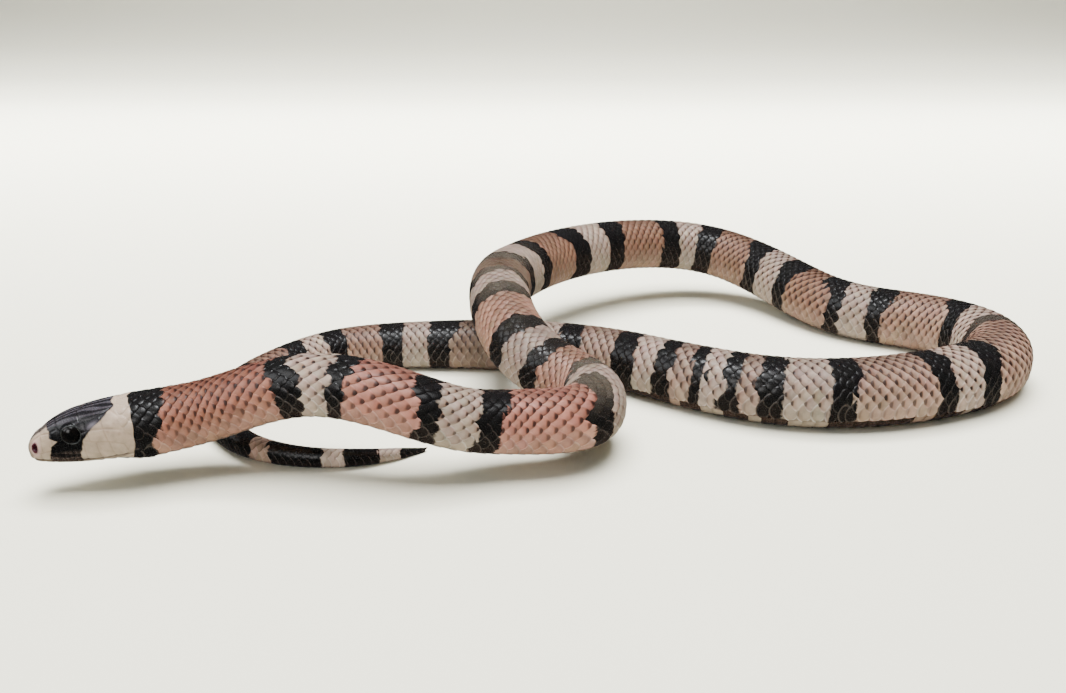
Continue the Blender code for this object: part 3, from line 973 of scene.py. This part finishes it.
def head_colour(place, turn, border, mouth, eye, points):
    """Linear colours of the head's skin."""
    snout, around = place + HEAD_LENGTH, np.abs(turn)
    colour = blend_to(np.broadcast_to(SNOUT_CREAM, points.shape), CHIN_CREAM, eased(around, *CHIN_SPAN))
    tint = 0.06 * np.sin(points[..., 0] * 2.1 + 1.0) * np.sin(points[..., 2] * 2.7)
    colour = colour * (1 + tint[..., None])
    hood = hood_cover(snout, turn)
    colour = blend_to(colour, hood_colour(snout, around, points), hood)
    # A painted highlight on the hood behind the eye.
    behind = snout - CHEEK_PLACE[0]
    cheek_highlight = bell(behind, CHEEK_SIZE[0]) * bell(around - CHEEK_PLACE[1] + CHEEK_SLANT * behind, CHEEK_SIZE[1])
    colour = blend_to(colour, CHEEK_HIGHLIGHT, cheek_highlight * hood * 0.7)
    crease = bell(border, 0.085) * (1 - eased(place - coat_start(turn), -0.6, 0.0))
    colour = blend_to(colour, CREASE_BROWN, crease * 0.38 * (1 - hood))
    colour = blend_to(colour, HOOD_BLACK * 0.3, crease * 0.8 * hood)
    colour = blend_to(colour, LIP_PAINTED_SHADE, 0.6 * lip_shade_cover(snout, around))
    # The mouth line is painted near black, as painted shade in its crease.
    colour = blend_to(colour, CREASE_BROWN * 0.15, 0.95 * bell(mouth, 0.16))
    colour = blend_to(colour, HOOD_BLACK * 0.6, 1 - eased(eye, 1.45, 1.75))
    colour = blend_to(colour, EYE_RIM, 0.7 * bell(eye - 1.3, 0.07))
    for side in (1, -1):
        colour = paint_side(colour, points, side)
    return blend_to(colour, BAND_BLACK * 1.5, eased(collar_gap(place, turn), -0.05, 0.05))


head_paint = head_colour(*head_grid, border_gap, mouth_gap, eye_gap, smooth_head)
body_paint = body_colour(*body_grid) * UNDER_SCALES_SHADE
print("head colours:", head_paint.shape)

# %% [markdown]
# ## Joining the rings into one mesh
# The head has four sides to each side of the body. Where they meet, one wide face per body side takes
# the four small ones, and the scales of the nape lie over that row. The bake map unrolls the skin as
# a strip: the head gets three fifths of it, because that part of the skin is what shows.

# %% Helpers for meshes
HEAD_MAP_SHARE = 0.6
MAP_FIT = 0.996
MAP_MARGIN = 0.002


def ring_faces(start, rings, sides):
    """Quads between rings of the same number of sides, as rows of four vertex numbers."""
    ring, side = np.meshgrid(np.arange(rings - 1), np.arange(sides), indexing="ij")
    other = (side + 1) % sides
    low, high = start + ring * sides, start + (ring + 1) * sides
    return np.stack([low + side, low + other, high + other, high + side], axis=-1).reshape(-1, 4)


def chart_map(places, turns):
    """Bake map places for chart places: lengthways from left to right, the way round from 0 to 1."""
    head_part = (places + HEAD_LENGTH) / HEAD_LENGTH * HEAD_MAP_SHARE
    body_part = HEAD_MAP_SHARE + places / BODY_LENGTH * (1 - HEAD_MAP_SHARE)
    lengthways = np.where(places <= 0, head_part, body_part)
    return np.stack([lengthways, (turns + 1) / 2], axis=-1) * MAP_FIT + MAP_MARGIN


def colour_points(thing, name, colours):
    layer = thing.data.color_attributes.new(name, "FLOAT_COLOR", "POINT")
    values = np.concatenate([colours, np.ones((len(colours), 1))], axis=1)
    layer.data.foreach_set("color", values.astype(np.float32).ravel())


def corner_points(thing):
    """The number of the point at each corner of the faces."""
    corners = np.empty(len(thing.data.loops), np.int64)
    thing.data.loops.foreach_get("vertex_index", corners)
    return corners


def write_bake_map(thing, spots):
    """Write the bake map, with one place for each corner of the faces."""
    layer = thing.data.uv_layers.new(name="OFBake")
    layer.data.foreach_set("uv", spots.astype(np.float32).ravel())


print("the head has", HEAD_MAP_SHARE, "of the skin's bake map")

# %% Build the skin
def skin_faces():
    """Faces of the skin: snout fan, head rings, joining ring, body rings and tail fan."""
    head_start = 1
    body_start = head_start + len(head_places) * HEAD_SIDES
    last = body_start + len(body_places) * BODY_SIDES
    faces = [(0, head_start + (side + 1) % HEAD_SIDES, head_start + side) for side in range(HEAD_SIDES)]
    faces += ring_faces(head_start, len(head_places), HEAD_SIDES).tolist()
    neck_ring = body_start - HEAD_SIDES
    for side in range(BODY_SIDES):
        small = [neck_ring + (side * SIDES_SHARE + step) % HEAD_SIDES for step in range(SIDES_SHARE + 1)]
        faces.append((*small, body_start + (side + 1) % BODY_SIDES, body_start + side))
    faces += ring_faces(body_start, len(body_places), BODY_SIDES).tolist()
    final = last - BODY_SIDES
    return faces + [(last, final + side, final + (side + 1) % BODY_SIDES) for side in range(BODY_SIDES)]


def build_skin():
    body_points = on_chart(*body_grid, -COAT_DEPTH * plate_size(body_grid[0]))
    tip = on_chart(BODY_LENGTH, 0.0, -0.05)[None]
    nose = on_chart(-HEAD_LENGTH, 0.0)[None]
    points = np.vstack([nose, head_points.reshape(-1, 3), body_points.reshape(-1, 3), tip])
    thing = link_mesh("skin", points, skin_faces())
    places = np.concatenate([[-HEAD_LENGTH], head_grid[0].ravel(), body_grid[0].ravel(), [BODY_LENGTH]])
    turns = np.concatenate([[0.0], head_grid[1].ravel(), body_grid[1].ravel(), [0.0]])
    paint = [SNOUT_CREAM[None], head_paint.reshape(-1, 3), body_paint.reshape(-1, 3), BAND_BLACK[None]]
    colour_points(thing, "tint", np.vstack(paint))
    spots = chart_map(places, turns)[corner_points(thing)]
    for polygon in thing.data.polygons:
        loop = slice(polygon.loop_start, polygon.loop_start + polygon.loop_total)
        if np.ptp(spots[loop, 1]) > 0.5:
            spots[loop, 1] += np.where(spots[loop, 1] < 0.5, MAP_FIT, 0.0)
    write_bake_map(thing, spots)
    return thing


skin = build_skin()
print("skin faces:", len(skin.data.polygons))

# %% [markdown]
# ## Finish of the skin
# Snake skin is dry and satin, with a fine grain and a clear outer layer. The colour comes from the
# painted points, a soft noise breaks it up, and a very small bump gives the grain. Dark parts are a
# little glossier than pale ones, so the roughness follows the colour.

# %% Skin material
MOTTLE_DENSITY = 900.0
MOTTLE_RANGE = (0.86, 1.12)
GRAIN_DENSITY = 5200.0
GRAIN_DEPTH = 0.00004


def satin_skin(name, bump_strength):
    """A satin finish that reads its colour from the attribute called tint."""
    material, tree, shader = new_material(name)
    place = object_place(tree)
    tint = attribute(tree, "tint").outputs["Color"]
    mottle = ramp(tree, noise(tree, place, MOTTLE_DENSITY, 4.0), 0.3, 0.7, *MOTTLE_RANGE)
    colour = node(tree, "ShaderNodeVectorMath", {"operation": "SCALE"}, i0=tint, Scale=mottle).outputs[0]
    fill(tree, shader.inputs["Base Color"], colour)
    brightness = node(tree, "ShaderNodeRGBToBW", None, Color=tint).outputs[0]
    grain = noise(tree, place, GRAIN_DENSITY, 3.0)
    roughness = maths(tree, "ADD", ramp(tree, brightness, 0.01, 0.1, 0.2, 0.28), times(tree, grain, 0.12))
    fill(tree, shader.inputs["Roughness"], roughness)
    fill(tree, shader.inputs["Normal"], bump(tree, grain, bump_strength, GRAIN_DEPTH))
    fill(tree, shader.inputs["Specular IOR Level"], ramp(tree, brightness, 0.01, 0.08, 0.43, 0.34))
    shader.inputs["Subsurface Weight"].default_value = 0.05
    shader.inputs["Subsurface Radius"].default_value = (0.0008, 0.0004, 0.0003)
    shader.inputs["Subsurface Scale"].default_value = 1.0
    return material, tree, shader, colour


skin_finish = satin_skin("snake_skin", 0.35)[0]
skin.data.materials.append(skin_finish)
print("skin finish:", skin_finish.name)

# %% [markdown]
# ## One scale
# A dorsal scale is a thin rounded rhomb, rooted at its front and free at its rear tip, which lies over
# the two scales behind it. Seen from above only its rear half shows. An array along a curve would
# stretch the same plate round every bend, so one template is made in shares of its own length and
# width, and each copy is bent onto the chart at its own place.

# %% The template of a scale
OUTLINE_POINTS = 18
SCALE_FRONT = -0.78
SCALE_REAR = 0.53
TIP_SHARPNESS = 1.7
RING_SHARES = (0.97, 1.0, 0.93, 0.75, 0.42)
RING_LIFTS = (-0.85, -0.55, -0.12, 0.2, 0.42)
MIDDLE_LIFT = 0.5
FRONT_ROUNDNESS = 0.9
SLOPE_POWER = 1.1
ROOT_SHARE = 0.35


def scale_outline():
    """Points round a scale: x along it in pitches, y across it in half widths."""
    points = []
    for step in range(OUTLINE_POINTS):
        angle = 2 * math.pi * step / OUTLINE_POINTS
        x, y = math.cos(angle), math.sin(angle)
        if x >= 0:
            power = 2 / TIP_SHARPNESS
            x, y = SCALE_REAR * abs(x) ** power, math.copysign(abs(y) ** power, y)
        else:
            x, y = SCALE_FRONT * abs(x), math.copysign(abs(y) ** FRONT_ROUNDNESS, y)
        points.append((x, y))
    return np.array(points)


def scale_height(x, lift):
    """Height of a scale at x in shares of its lift, which grows from the root to the rear tip."""
    slope = (x - SCALE_FRONT) / (SCALE_REAR - SCALE_FRONT)
    return slope ** SLOPE_POWER + lift * (ROOT_SHARE + (1 - ROOT_SHARE) * slope) - 1


def scale_template():
    """Vertices (x, y, height), rim share and faces of one closed scale."""
    outline = scale_outline()
    verts, rims = [], []
    for share, lift in zip(RING_SHARES, RING_LIFTS):
        flat = outline * share
        verts.append(np.column_stack([flat, scale_height(flat[:, 0], lift)]))
        rims += [share] * OUTLINE_POINTS
    verts.append([(0.0, 0.0, scale_height(0.0, MIDDLE_LIFT))])
    rims.append(0.0)
    count, rings = OUTLINE_POINTS, len(RING_SHARES)
    faces = [tuple(reversed(range(count)))]
    faces += ring_faces(0, rings, count).tolist()
    last = (rings - 1) * count
    faces += [(last + side, last + (side + 1) % count, rings * count) for side in range(count)]
    return np.vstack(verts), np.array(rims), faces


TEMPLATE, RIM_SHARE, TEMPLATE_FACES = scale_template()
print("points in a scale:", len(TEMPLATE), "faces:", len(TEMPLATE_FACES))

# %% [markdown]
# ## Rows of scales
# A milk snake has 21 rows round the middle of its body. Behind it there are 19, then 17 and 15, and
# the tail tip has 7. Rows lie side by side and every other row is shifted by half a scale, like
# bricks. The lowest rows are a little broader. Scales are set by their count from the head, with one
# belly scute to each, and the pitch shrinks towards the tail. On the rear body the scutes turn up
# further and leave less room for the rows over them.

# %% The lattice
LATTICE_START = -16.0
PITCHES = [
    (-20.0, 1.5), (0.0, 1.75), (12.0, 2.0), (45.0, 2.1), (60.0, 1.95), (70.0, 1.65), (88.0, 1.4),
    (112.0, 1.35), (132.0, 1.75), (200.0, 1.8), (232.0, 1.7), (255.0, 1.95), (300.0, 1.85),
    (332.0, 1.8), (392.0, 1.6), (422.0, 1.45), (447.0, 1.25), (469.0, 1.0),
]
ROW_WEIGHTS = np.array((0.94, 0.94, 0.94, 0.94, 0.95, 0.97, 1.0, 1.02, 1.08, 1.2, 1.5))
SCUTE_EDGE = 0.73
# The room for the rows, by the distance behind the head.
ROOM = [(225, 1.0), (262, 0.93), (290, 0.85), (328, 0.85), (352, 0.96), (400, 1.0)]
# Each piece has a name, a start and an end behind the head, and a number of rows.
COATS = [
    ("scales_neck", -12.0, 48.0, 21),
    ("scales_hairpin", 48.0, 98.0, 21),
    ("scales_bridge", 98.0, 148.0, 21),
    ("scales_far_side", 148.0, 198.0, 21),
    ("scales_descent", 198.0, 246.5, 21),
    ("scales_loop", 246.5, 300.5, 19),
    ("scales_near_side", 300.5, 344.0, 17),
    ("scales_rear", 344.0, 385.0, 17),
    ("scales_tail_root", 385.0, 404.5, 15),
    ("scales_tail_bend", 404.5, 426.0, 13),
    ("scales_tail_middle", 426.0, 440.0, 11),
    ("scales_tail_end", 440.0, 452.0, 9),
    ("scales_tail_tip", 452.0, 468.5, 7),
]


def scale_places():
    """Distances behind the head of whole and half scales: even entries are whole pitches."""
    places = [LATTICE_START]
    while places[-1] < BODY_LENGTH:
        places.append(places[-1] + table_at(PITCHES, places[-1]) / 2)
    return np.array(places)


def row_turns(rows):
    """Middle and spacing of each row on the left side, from the middle of the back down."""
    half = rows // 2
    weights = np.interp(np.linspace(0, 1, half + 1), np.linspace(0, 1, len(ROW_WEIGHTS)), ROW_WEIGHTS)
    edges = np.cumsum(weights) - weights[0] / 2
    edges = np.concatenate([[-edges[0]], edges]) / edges[-1] * SCUTE_EDGE
    return (edges[:-1] + edges[1:]) / 2, np.diff(edges)


LATTICE = scale_places()
print("scutes from throat to tail tip:", len(LATTICE) // 2)

# %% Colour the scales
COLLAR_END = -0.6
# A border between bands is drawn partly through the scales and partly round them.
BORDER_SHARE = 0.6
DOT_PLACE = 0.43
# How dark and how small the dot is on salmon, black and cream.
DOT_SHARES = (0.95, 0.0, 1.0)
DOT_TIGHTNESS = (0.95, 1.0, 1.45)
DOT_SPREAD = (0.75, 1.0)
# How pale the rim of a scale is low on the flanks, or below 0 how far painted shade darkens it on the back,
# by the share of the way round.
EDGE_SHARES = [(0.0, -0.7), (0.28, -0.6), (0.42, 0.2), (0.58, 0.9)]
JITTERS = [(0, 0.2), (302, 0.2), (310, 0.38), (322, 0.38), (332, 0.2)]
SHADE_ERROR = 0.07
HUE_ERROR = 0.02


def scale_colours(place, run, turn, draw):
    """Colours over each scale, and the kind of band under its dot, with the scale's own small errors."""
    jitter = table_at(JITTERS, place) * draw.normal(0, 1, len(place))
    shifted = place + np.where(place < 0, 0.0, jitter)
    colour = body_colour(shifted[:, None] + BORDER_SHARE * run, turn[:, None])
    kind = band_at(shifted + BORDER_SHARE * DOT_PLACE * run.max(axis=1) / SCALE_REAR, turn)
    shade = draw.normal(1, SHADE_ERROR, len(place))[:, None]
    shade = shade * (1 + draw.normal(0, HUE_ERROR, (len(place), 3)))
    colour = colour * shade[:, None, :]
    return np.where((place < COLLAR_END)[:, None, None], BAND_BLACK, colour), kind


def dot_strength(place, turn, kind, draw):
    """How dark each dot is: fainter low on the flanks and on the tail, and none at the collar."""
    strength = draw.uniform(*DOT_SPREAD, len(place)) * np.choose(kind, DOT_SHARES)
    strength *= 1 - 0.8 * eased(np.abs(turn), 0.42, 0.66)
    return strength * eased(place, -1.0, 2.0) * (1 - 0.7 * eased(place, 418, 432))


def mark_points(thing, name, *columns):
    """Give each point three numbers, which the shader reads by their name."""
    layer = thing.data.attributes.new(name, "FLOAT_VECTOR", "POINT")
    values = np.stack(np.broadcast_arrays(*columns), axis=-1)
    layer.data.foreach_set("vector", values.astype(np.float32).ravel())


print("the dot lies", DOT_PLACE, "of a pitch behind the middle of a scale")

# %% Grow the scales
SCALE_LIFT = 0.23
SCALE_CLEARANCE = 0.012
SIZE_ERROR = 0.03
YAW_ERROR = 0.03
SHARP_ANGLE = 60
SEED = 20
SMALLEST_TURN = 1e-9
MAP_ENDS = 2
PATCH_LENGTH = 0.8
PATCH_WIDTH = 0.4


def lattice_cells(start, end, rows):
    """Place, turn, pitch, row spacing and row of each scale between two distances."""
    middles, spacings = row_turns(rows)
    cells = []
    for row in range(-(rows // 2), rows // 2 + 1):
        side = 1 if row >= 0 else -1
        for step in range(row % 2, len(LATTICE) - 2, 2):
            place = LATTICE[step]
            room = table_at(ROOM, place)
            turn = middles[abs(row)] * side * room
            if start <= place < end and place > coat_start(turn):
                pitch = LATTICE[step + 1] - LATTICE[step - 1]
                cells.append((place, turn, pitch, spacings[abs(row)] * room, row))
    return np.array(cells)


def plates_mesh(name, points, template_faces):
    """One mesh of many copies of a template, from the points of each copy."""
    offset = (np.arange(points.shape[0]) * points.shape[1])[:, None]
    faces = []
    for face in template_faces:
        faces += (np.array(face)[None, :] + offset).tolist()
    thing = link_mesh(name, points.reshape(-1, 3), faces)
    thing.data.set_sharp_from_angle(angle=math.radians(SHARP_ANGLE))
    return thing


def map_cells(thing, start, end, rows, place, row):
    """The bake map: each scale keeps a small patch at its own place on the unrolled length."""
    length = end - start + 2 * MAP_ENDS
    centre = np.stack([(place - start + MAP_ENDS) / length, (row + rows / 2) / rows], axis=-1)
    patch = TEMPLATE[:, :2] * (PATCH_LENGTH / length, PATCH_WIDTH / (rows + 1))
    spots = (centre[:, None, :] + patch).reshape(-1, 2)
    write_bake_map(thing, spots[corner_points(thing)])


def grow_scales(name, start, end, rows, draw):
    """One mesh of all the scales between two distances behind the head."""
    place, turn, pitch, spacing, row = lattice_cells(start, end, rows).T
    grow = draw.normal(1, SIZE_ERROR, (2, len(place)))
    yaw = draw.normal(0, YAW_ERROR, len(place))[:, None]
    girth = np.interp(place, stations, half_girth)
    x = TEMPLATE[:, 0] * grow[0][:, None] * pitch[:, None]
    y = TEMPLATE[:, 1] * grow[1][:, None] * (spacing * girth)[:, None]
    run = x + y * yaw
    turns = turn[:, None] + (y - x * yaw) / girth[:, None]
    turns = np.where(np.abs(turns) < SMALLEST_TURN, SMALLEST_TURN, turns)
    heights = TEMPLATE[:, 2] * SCALE_LIFT * plate_size(place)[:, None] + SCALE_CLEARANCE
    thing = plates_mesh(name, on_chart(place[:, None] + run, turns, heights), TEMPLATE_FACES)
    colour, kind = scale_colours(place, run, turn, draw)
    colour_points(thing, "tint", colour.reshape(-1, 3))
    tightness = np.choose(kind, DOT_TIGHTNESS)[:, None]
    ahead = DOT_PLACE + (TEMPLATE[:, 0] - DOT_PLACE) * tightness
    strength = dot_strength(place, turn, kind, draw)[:, None]
    mark_points(thing, "mark", ahead, TEMPLATE[:, 1] * tightness, strength)
    rim_tone = table_at(EDGE_SHARES, np.abs(turn))[:, None]
    collar = np.where((place < COLLAR_END)[:, None], collar_gap(place[:, None] + run, turns), 1.0)
    mark_points(thing, "edge", RIM_SHARE, rim_tone, collar)
    map_cells(thing, start, end, rows, place, row)
    return thing


draw = np.random.default_rng(SEED)
coats = [grow_scales(*coat, draw) for coat in COATS]
print("scales:", sum(len(coat.data.vertices) for coat in coats) // len(TEMPLATE))

# %% [markdown]
# ## Finish of the scales
# Most pale scales carry a dark brown dot at their tip, smaller on cream, in a soft halo that is
# partly brown and partly painted shade. On the back the rims of the scales are painted darker, as
# painted shade between them, and low on the flanks they are paler, where a thin grey net also crosses
# the black. Painting all this on points would blur, so each scale carries its own coordinates, and
# the shader draws the dot and the rim from them. The black scales have no dot but are glossier.

# %% Scale material
DOT_BROWN = (0.010, 0.0045, 0.004)
HALO_BROWN_AND_SHADE = (0.55, 0.36, 0.30)
PALE_EDGE = (1.45, 1.6, 1.75)
NET_GREY = (0.12, 0.10, 0.088)
RIM_PAINTED_SHADE = (0.42, 0.34, 0.32)
DOT_BOW = 0.55
DOT_LENGTH = 0.18
DOT_WIDTH = 0.44
DOT_SPAN = (0.6, 1.35)
HALO_SPAN = (1.0, 3.6)
HALO_SHARE = 0.65
RIM_SPAN = (0.68, 0.9)
RIM_SHADE_SPAN = (0.6, 1.0)
NET_SHARE = 0.4


def stored_parts(tree, name):
    """The three numbers that each point carries under a name."""
    stored = attribute(tree, name).outputs["Vector"]
    return node(tree, "ShaderNodeSeparateXYZ", None, Vector=stored).outputs


def dot_gap(tree, ahead, aside):
    """Distance from the middle of a scale's dot, in sizes of the dot."""
    bowed = maths(tree, "ADD", ahead, times(tree, times(tree, aside, aside), DOT_BOW))
    lengthways = maths(tree, "DIVIDE", maths(tree, "SUBTRACT", bowed, DOT_PLACE), DOT_LENGTH)
    across = maths(tree, "DIVIDE", aside, DOT_WIDTH)
    squares = maths(tree, "ADD", times(tree, lengthways, lengthways), times(tree, across, across))
    return maths(tree, "SQRT", squares)


def paint_rim(tree, colour, edge, brightness):
    """Pale rims low on the flanks, and rims on the back darkened by painted shade."""
    pale = times(tree, ramp(tree, edge[0], *RIM_SPAN), edge[1], clamp=True)
    pale = times(tree, pale, ramp(tree, brightness, 0.03, 0.08))
    edged = mix_colour(tree, pale, colour, PALE_EDGE, "MULTIPLY")
    # Painted shade between the scales of the back.
    dark = times(tree, ramp(tree, edge[0], *RIM_SHADE_SPAN), times(tree, edge[1], -1.0), clamp=True)
    return mix_colour(tree, dark, edged, RIM_PAINTED_SHADE, "MULTIPLY")


def paint_dot(tree, colour, mark):
    """The dot, and a soft halo round it that is partly brown and partly painted shade at the tip."""
    gap = dot_gap(tree, mark[0], mark[1])
    halo = times(tree, times(tree, ramp(tree, gap, *HALO_SPAN, 1.0, 0.0), mark[2]), HALO_SHARE)
    shaded = mix_colour(tree, halo, colour, HALO_BROWN_AND_SHADE, "MULTIPLY")
    dot = times(tree, ramp(tree, gap, *DOT_SPAN, 1.0, 0.0), mark[2])
    return mix_colour(tree, dot, shaded, DOT_BROWN)


def paint_net(tree, colour, edge, brightness):
    """Grey rims on the black scales of the low flanks."""
    net = times(tree, ramp(tree, edge[0], *RIM_SPAN), times(tree, edge[1], NET_SHARE), clamp=True)
    net = times(tree, net, ramp(tree, brightness, 0.02, 0.05, 1.0, 0.0))
    return mix_colour(tree, net, colour, NET_GREY)


def scale_finish():
    material, tree, shader, colour = satin_skin("snake_scales", 0.25)
    mark, edge = stored_parts(tree, "mark"), stored_parts(tree, "edge")
    brightness = node(tree, "ShaderNodeRGBToBW", None, Color=colour).outputs[0]
    painted = paint_rim(tree, colour, edge, brightness)
    painted = paint_dot(tree, painted, mark)
    painted = paint_net(tree, painted, edge, brightness)
    collar = ramp(tree, edge[2], -0.05, 0.05)
    fill(tree, shader.inputs["Base Color"], mix_colour(tree, collar, tuple(SNOUT_CREAM), painted))
    return material


scales_finish = scale_finish()
for coat in coats:
    coat.data.materials.append(scales_finish)
print("scale finish on", len(coats), "pieces")

# %% [markdown]
# ## Belly scutes
# Under the body lies a single row of broad plates, one to each pitch, which turn up at the sides where
# they show as tall rectangles. They are thin closed plates too, bent round the belly, each with its
# rear edge lying over the next. They are pale with black checks where the black bands come down.

# %% The template of a scute
SCUTE_COLUMNS = 26
SCUTE_ROWS = (-0.62, -0.3, 0.1, 0.42, 0.5)
SCUTE_HEIGHTS = (-0.16, -0.11, -0.045, 0.0, -0.012)
SCUTE_THICKNESS = 0.06
SCUTE_BOW = 0.06


def scute_template():
    """Shares along and across a scute, heights and faces, as a closed plate with two skins."""
    across = np.linspace(-1, 1, SCUTE_COLUMNS)
    verts = []
    for drop in (0.0, SCUTE_THICKNESS):
        for x, height in zip(SCUTE_ROWS, SCUTE_HEIGHTS):
            verts += [(x + SCUTE_BOW * (1 - y * y), y, height - drop) for y in across]
    width, rows = SCUTE_COLUMNS, len(SCUTE_ROWS)
    under = width * rows
    faces = []
    for row in range(rows - 1):
        for side in range(width - 1):
            first = row * width + side
            top = (first, first + 1, first + width + 1, first + width)
            faces += [top, tuple(index + under for index in reversed(top))]
    rim = list(range(width)) + [row * width + width - 1 for row in range(1, rows)]
    rim += [(rows - 1) * width + side for side in range(width - 2, -1, -1)]
    rim += [row * width for row in range(rows - 2, 0, -1)]
    for first, second in zip(rim, rim[1:] + rim[:1]):
        faces.append((second, first, first + under, second + under))
    return np.array(verts), faces


SCUTE, SCUTE_FACES = scute_template()
print("points in a scute:", len(SCUTE), "faces:", len(SCUTE_FACES))

# %% Lay the scutes
SCUTE_GROUPS = [
    ("scutes_front", -9.0, 110.0),
    ("scutes_middle", 110.0, 230.0),
    ("scutes_rear", 230.0, 350.0),
    ("scutes_tail", 350.0, 468.0),
]
SCUTE_REACH = 0.765
SCUTE_ENDS = 0.72
CHECK_CELLS = 5
BLACK_ENDS = 0.85
BLACK_CHECKS = 0.75
STRAY_CHECKS = 0.06
# The share of pale scutes with a black end.
CHECKED = [(285, 0.05), (295, 0.35), (325, 0.35), (340, 0.05)]
SCUTE_JITTER = 0.4
SCUTE_SHADE_ERROR = 0.04
REAR_SPAN = (0.2, 0.5)
REAR_SHADE = 0.3
SCUTE_PATCH = 1.44
SCUTE_PATCH_WIDTH = 0.96


def scute_colours(places, turns, draw):
    """Colours over each scute: five cells across it and its two ends may be black."""
    count, across = len(places), SCUTE[:, 1]
    kind = band_at(places[:, None] + draw.normal(0, SCUTE_JITTER, (count, 1)), turns)
    colour = BELLY_PALETTE[np.where(kind == 1, 2, kind)]
    end_share = np.where(band_at(places, 0.5) == 1, BLACK_ENDS, table_at(CHECKED, places))
    check_share = np.where(band_at(places, 0.9) == 1, BLACK_CHECKS, STRAY_CHECKS)
    black_end = draw.random((count, 2)) < end_share[:, None]
    check = draw.random((count, CHECK_CELLS)) < check_share[:, None]
    cell = np.clip(((across + 1) / 2 * CHECK_CELLS).astype(int), 0, CHECK_CELLS - 1)
    dark = np.where(across > SCUTE_ENDS, black_end[:, :1], check[:, cell])
    dark = np.where(across < -SCUTE_ENDS, black_end[:, 1:], dark)
    colour = np.where(dark[..., None], BELLY_PALETTE[1], colour)
    rear = REAR_SHADE * eased(SCUTE[:, 0], *REAR_SPAN)[:, None]
    return colour * (1 - rear) * draw.normal(1, SCUTE_SHADE_ERROR, (count, 1, 1))


def lay_scutes(name, start, end, draw):
    """One mesh of the scutes between two distances behind the head."""
    places = LATTICE[1::2]
    pitch = np.gradient(places)
    keep = (places >= start) & (places < end)
    places, pitch = places[keep], pitch[keep]
    lengthways, across, height = SCUTE.T
    x = places[:, None] + lengthways * pitch[:, None]
    reach = SCUTE_REACH * table_at(ROOM, places)[:, None]
    turns = np.sign(across) * (1 - (1 - reach) * np.abs(across))
    points = on_chart(x, turns, height * plate_size(places)[:, None])
    thing = plates_mesh(name, points, SCUTE_FACES)
    colour_points(thing, "tint", scute_colours(places, turns, draw).reshape(-1, 3))
    along_map = (places - start + MAP_ENDS)[:, None] + lengthways * SCUTE_PATCH
    across_map = np.broadcast_to((1 + across * SCUTE_PATCH_WIDTH) / 2, x.shape)
    spots = np.stack([along_map / (end - start + 2 * MAP_ENDS), across_map], axis=-1)
    write_bake_map(thing, spots.reshape(-1, 2)[corner_points(thing)])
    thing.data.materials.append(skin_finish)
    return thing


scutes = [lay_scutes(*group, draw) for group in SCUTE_GROUPS]
print("scutes:", sum(len(piece.data.vertices) for piece in scutes) // len(SCUTE))

# %% [markdown]
# ## Eyes
# A snake's eye has no lids: a clear cap covers a round black pupil in a very dark iris. A plain ball
# would do for the shape, but the iris must face outward, so the ball is turned to the side and its
# points carry their angle from the middle, which the shader reads as rings of colour.

# %% Make the eyes
EYE_SEGMENTS = 64
EYE_RINGS = 40
EYE_GAP = 0.01
IRIS_TONES = ((0.0012, 0.0010, 0.0010), (0.0035, 0.0026, 0.0022))
PUPIL_BLACK = (0.001, 0.001, 0.001)
PUPIL_SPAN = (0.36, 0.40)


def make_eye(name, centre, outward):
    """A ball that looks outward, whose points carry their angle from the middle of the pupil."""
    data = bpy.data.meshes.new(name)
    mesh = bmesh.new()
    radius = (EYE_RADIUS - EYE_GAP) * MM
    bmesh.ops.create_uvsphere(mesh, u_segments=EYE_SEGMENTS, v_segments=EYE_RINGS, radius=radius)
    turn = Vector((0, 0, 1)).rotation_difference(Vector(outward)).to_matrix()
    angles = [vert.co.angle(Vector((0, 0, 1))) for vert in mesh.verts]
    bmesh.ops.rotate(mesh, verts=mesh.verts, cent=(0, 0, 0), matrix=turn)
    bmesh.ops.translate(mesh, verts=mesh.verts, vec=Vector(centre) * MM)
    mesh.to_mesh(data)
    mesh.free()
    data.shade_smooth()
    layer = data.attributes.new("gaze", "FLOAT", "POINT")
    layer.data.foreach_set("value", np.array(angles, np.float32))
    thing = bpy.data.objects.new(name + "_ball", data)
    bpy.context.scene.collection.objects.link(thing)
    return thing


def eye_finish():
    material, tree, shader = new_material("eye_gloss")
    gaze = attribute(tree, "gaze").outputs["Fac"]
    fleck = noise(tree, object_place(tree), 4000.0, 4.0)
    iris = mix_colour(tree, fleck, *IRIS_TONES)
    pupil = ramp(tree, gaze, *PUPIL_SPAN)
    colour = mix_colour(tree, pupil, PUPIL_BLACK, iris)
    fill(tree, shader.inputs["Base Color"], colour)
    fill(tree, shader.inputs["Normal"], bump(tree, fleck, 0.002, 0.00002))
    shader.inputs["Roughness"].default_value = 0.16
    shader.inputs["Specular IOR Level"].default_value = 0.5
    return material


eye_material = eye_finish()
for name, (centre, outward) in EYES.items():
    eye = make_eye(name, centre, outward)
    eye.data.materials.append(eye_material)
    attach(eye, "root")
    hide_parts(name)
print("eyes:", list(EYES))

# %% [markdown]
# ## Tying it to the solids
# The one skin stands for every node of flesh, and the coat rides with it. The eyes stand for their own
# nodes.

# %% Ride, replace and finish
flesh = [name for name in frame["nodes"] if not name.startswith("eye_")]
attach(skin, "root")
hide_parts(*flesh)
for piece in coats + scutes:
    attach(piece, "root")
print("flesh nodes replaced:", len(flesh))
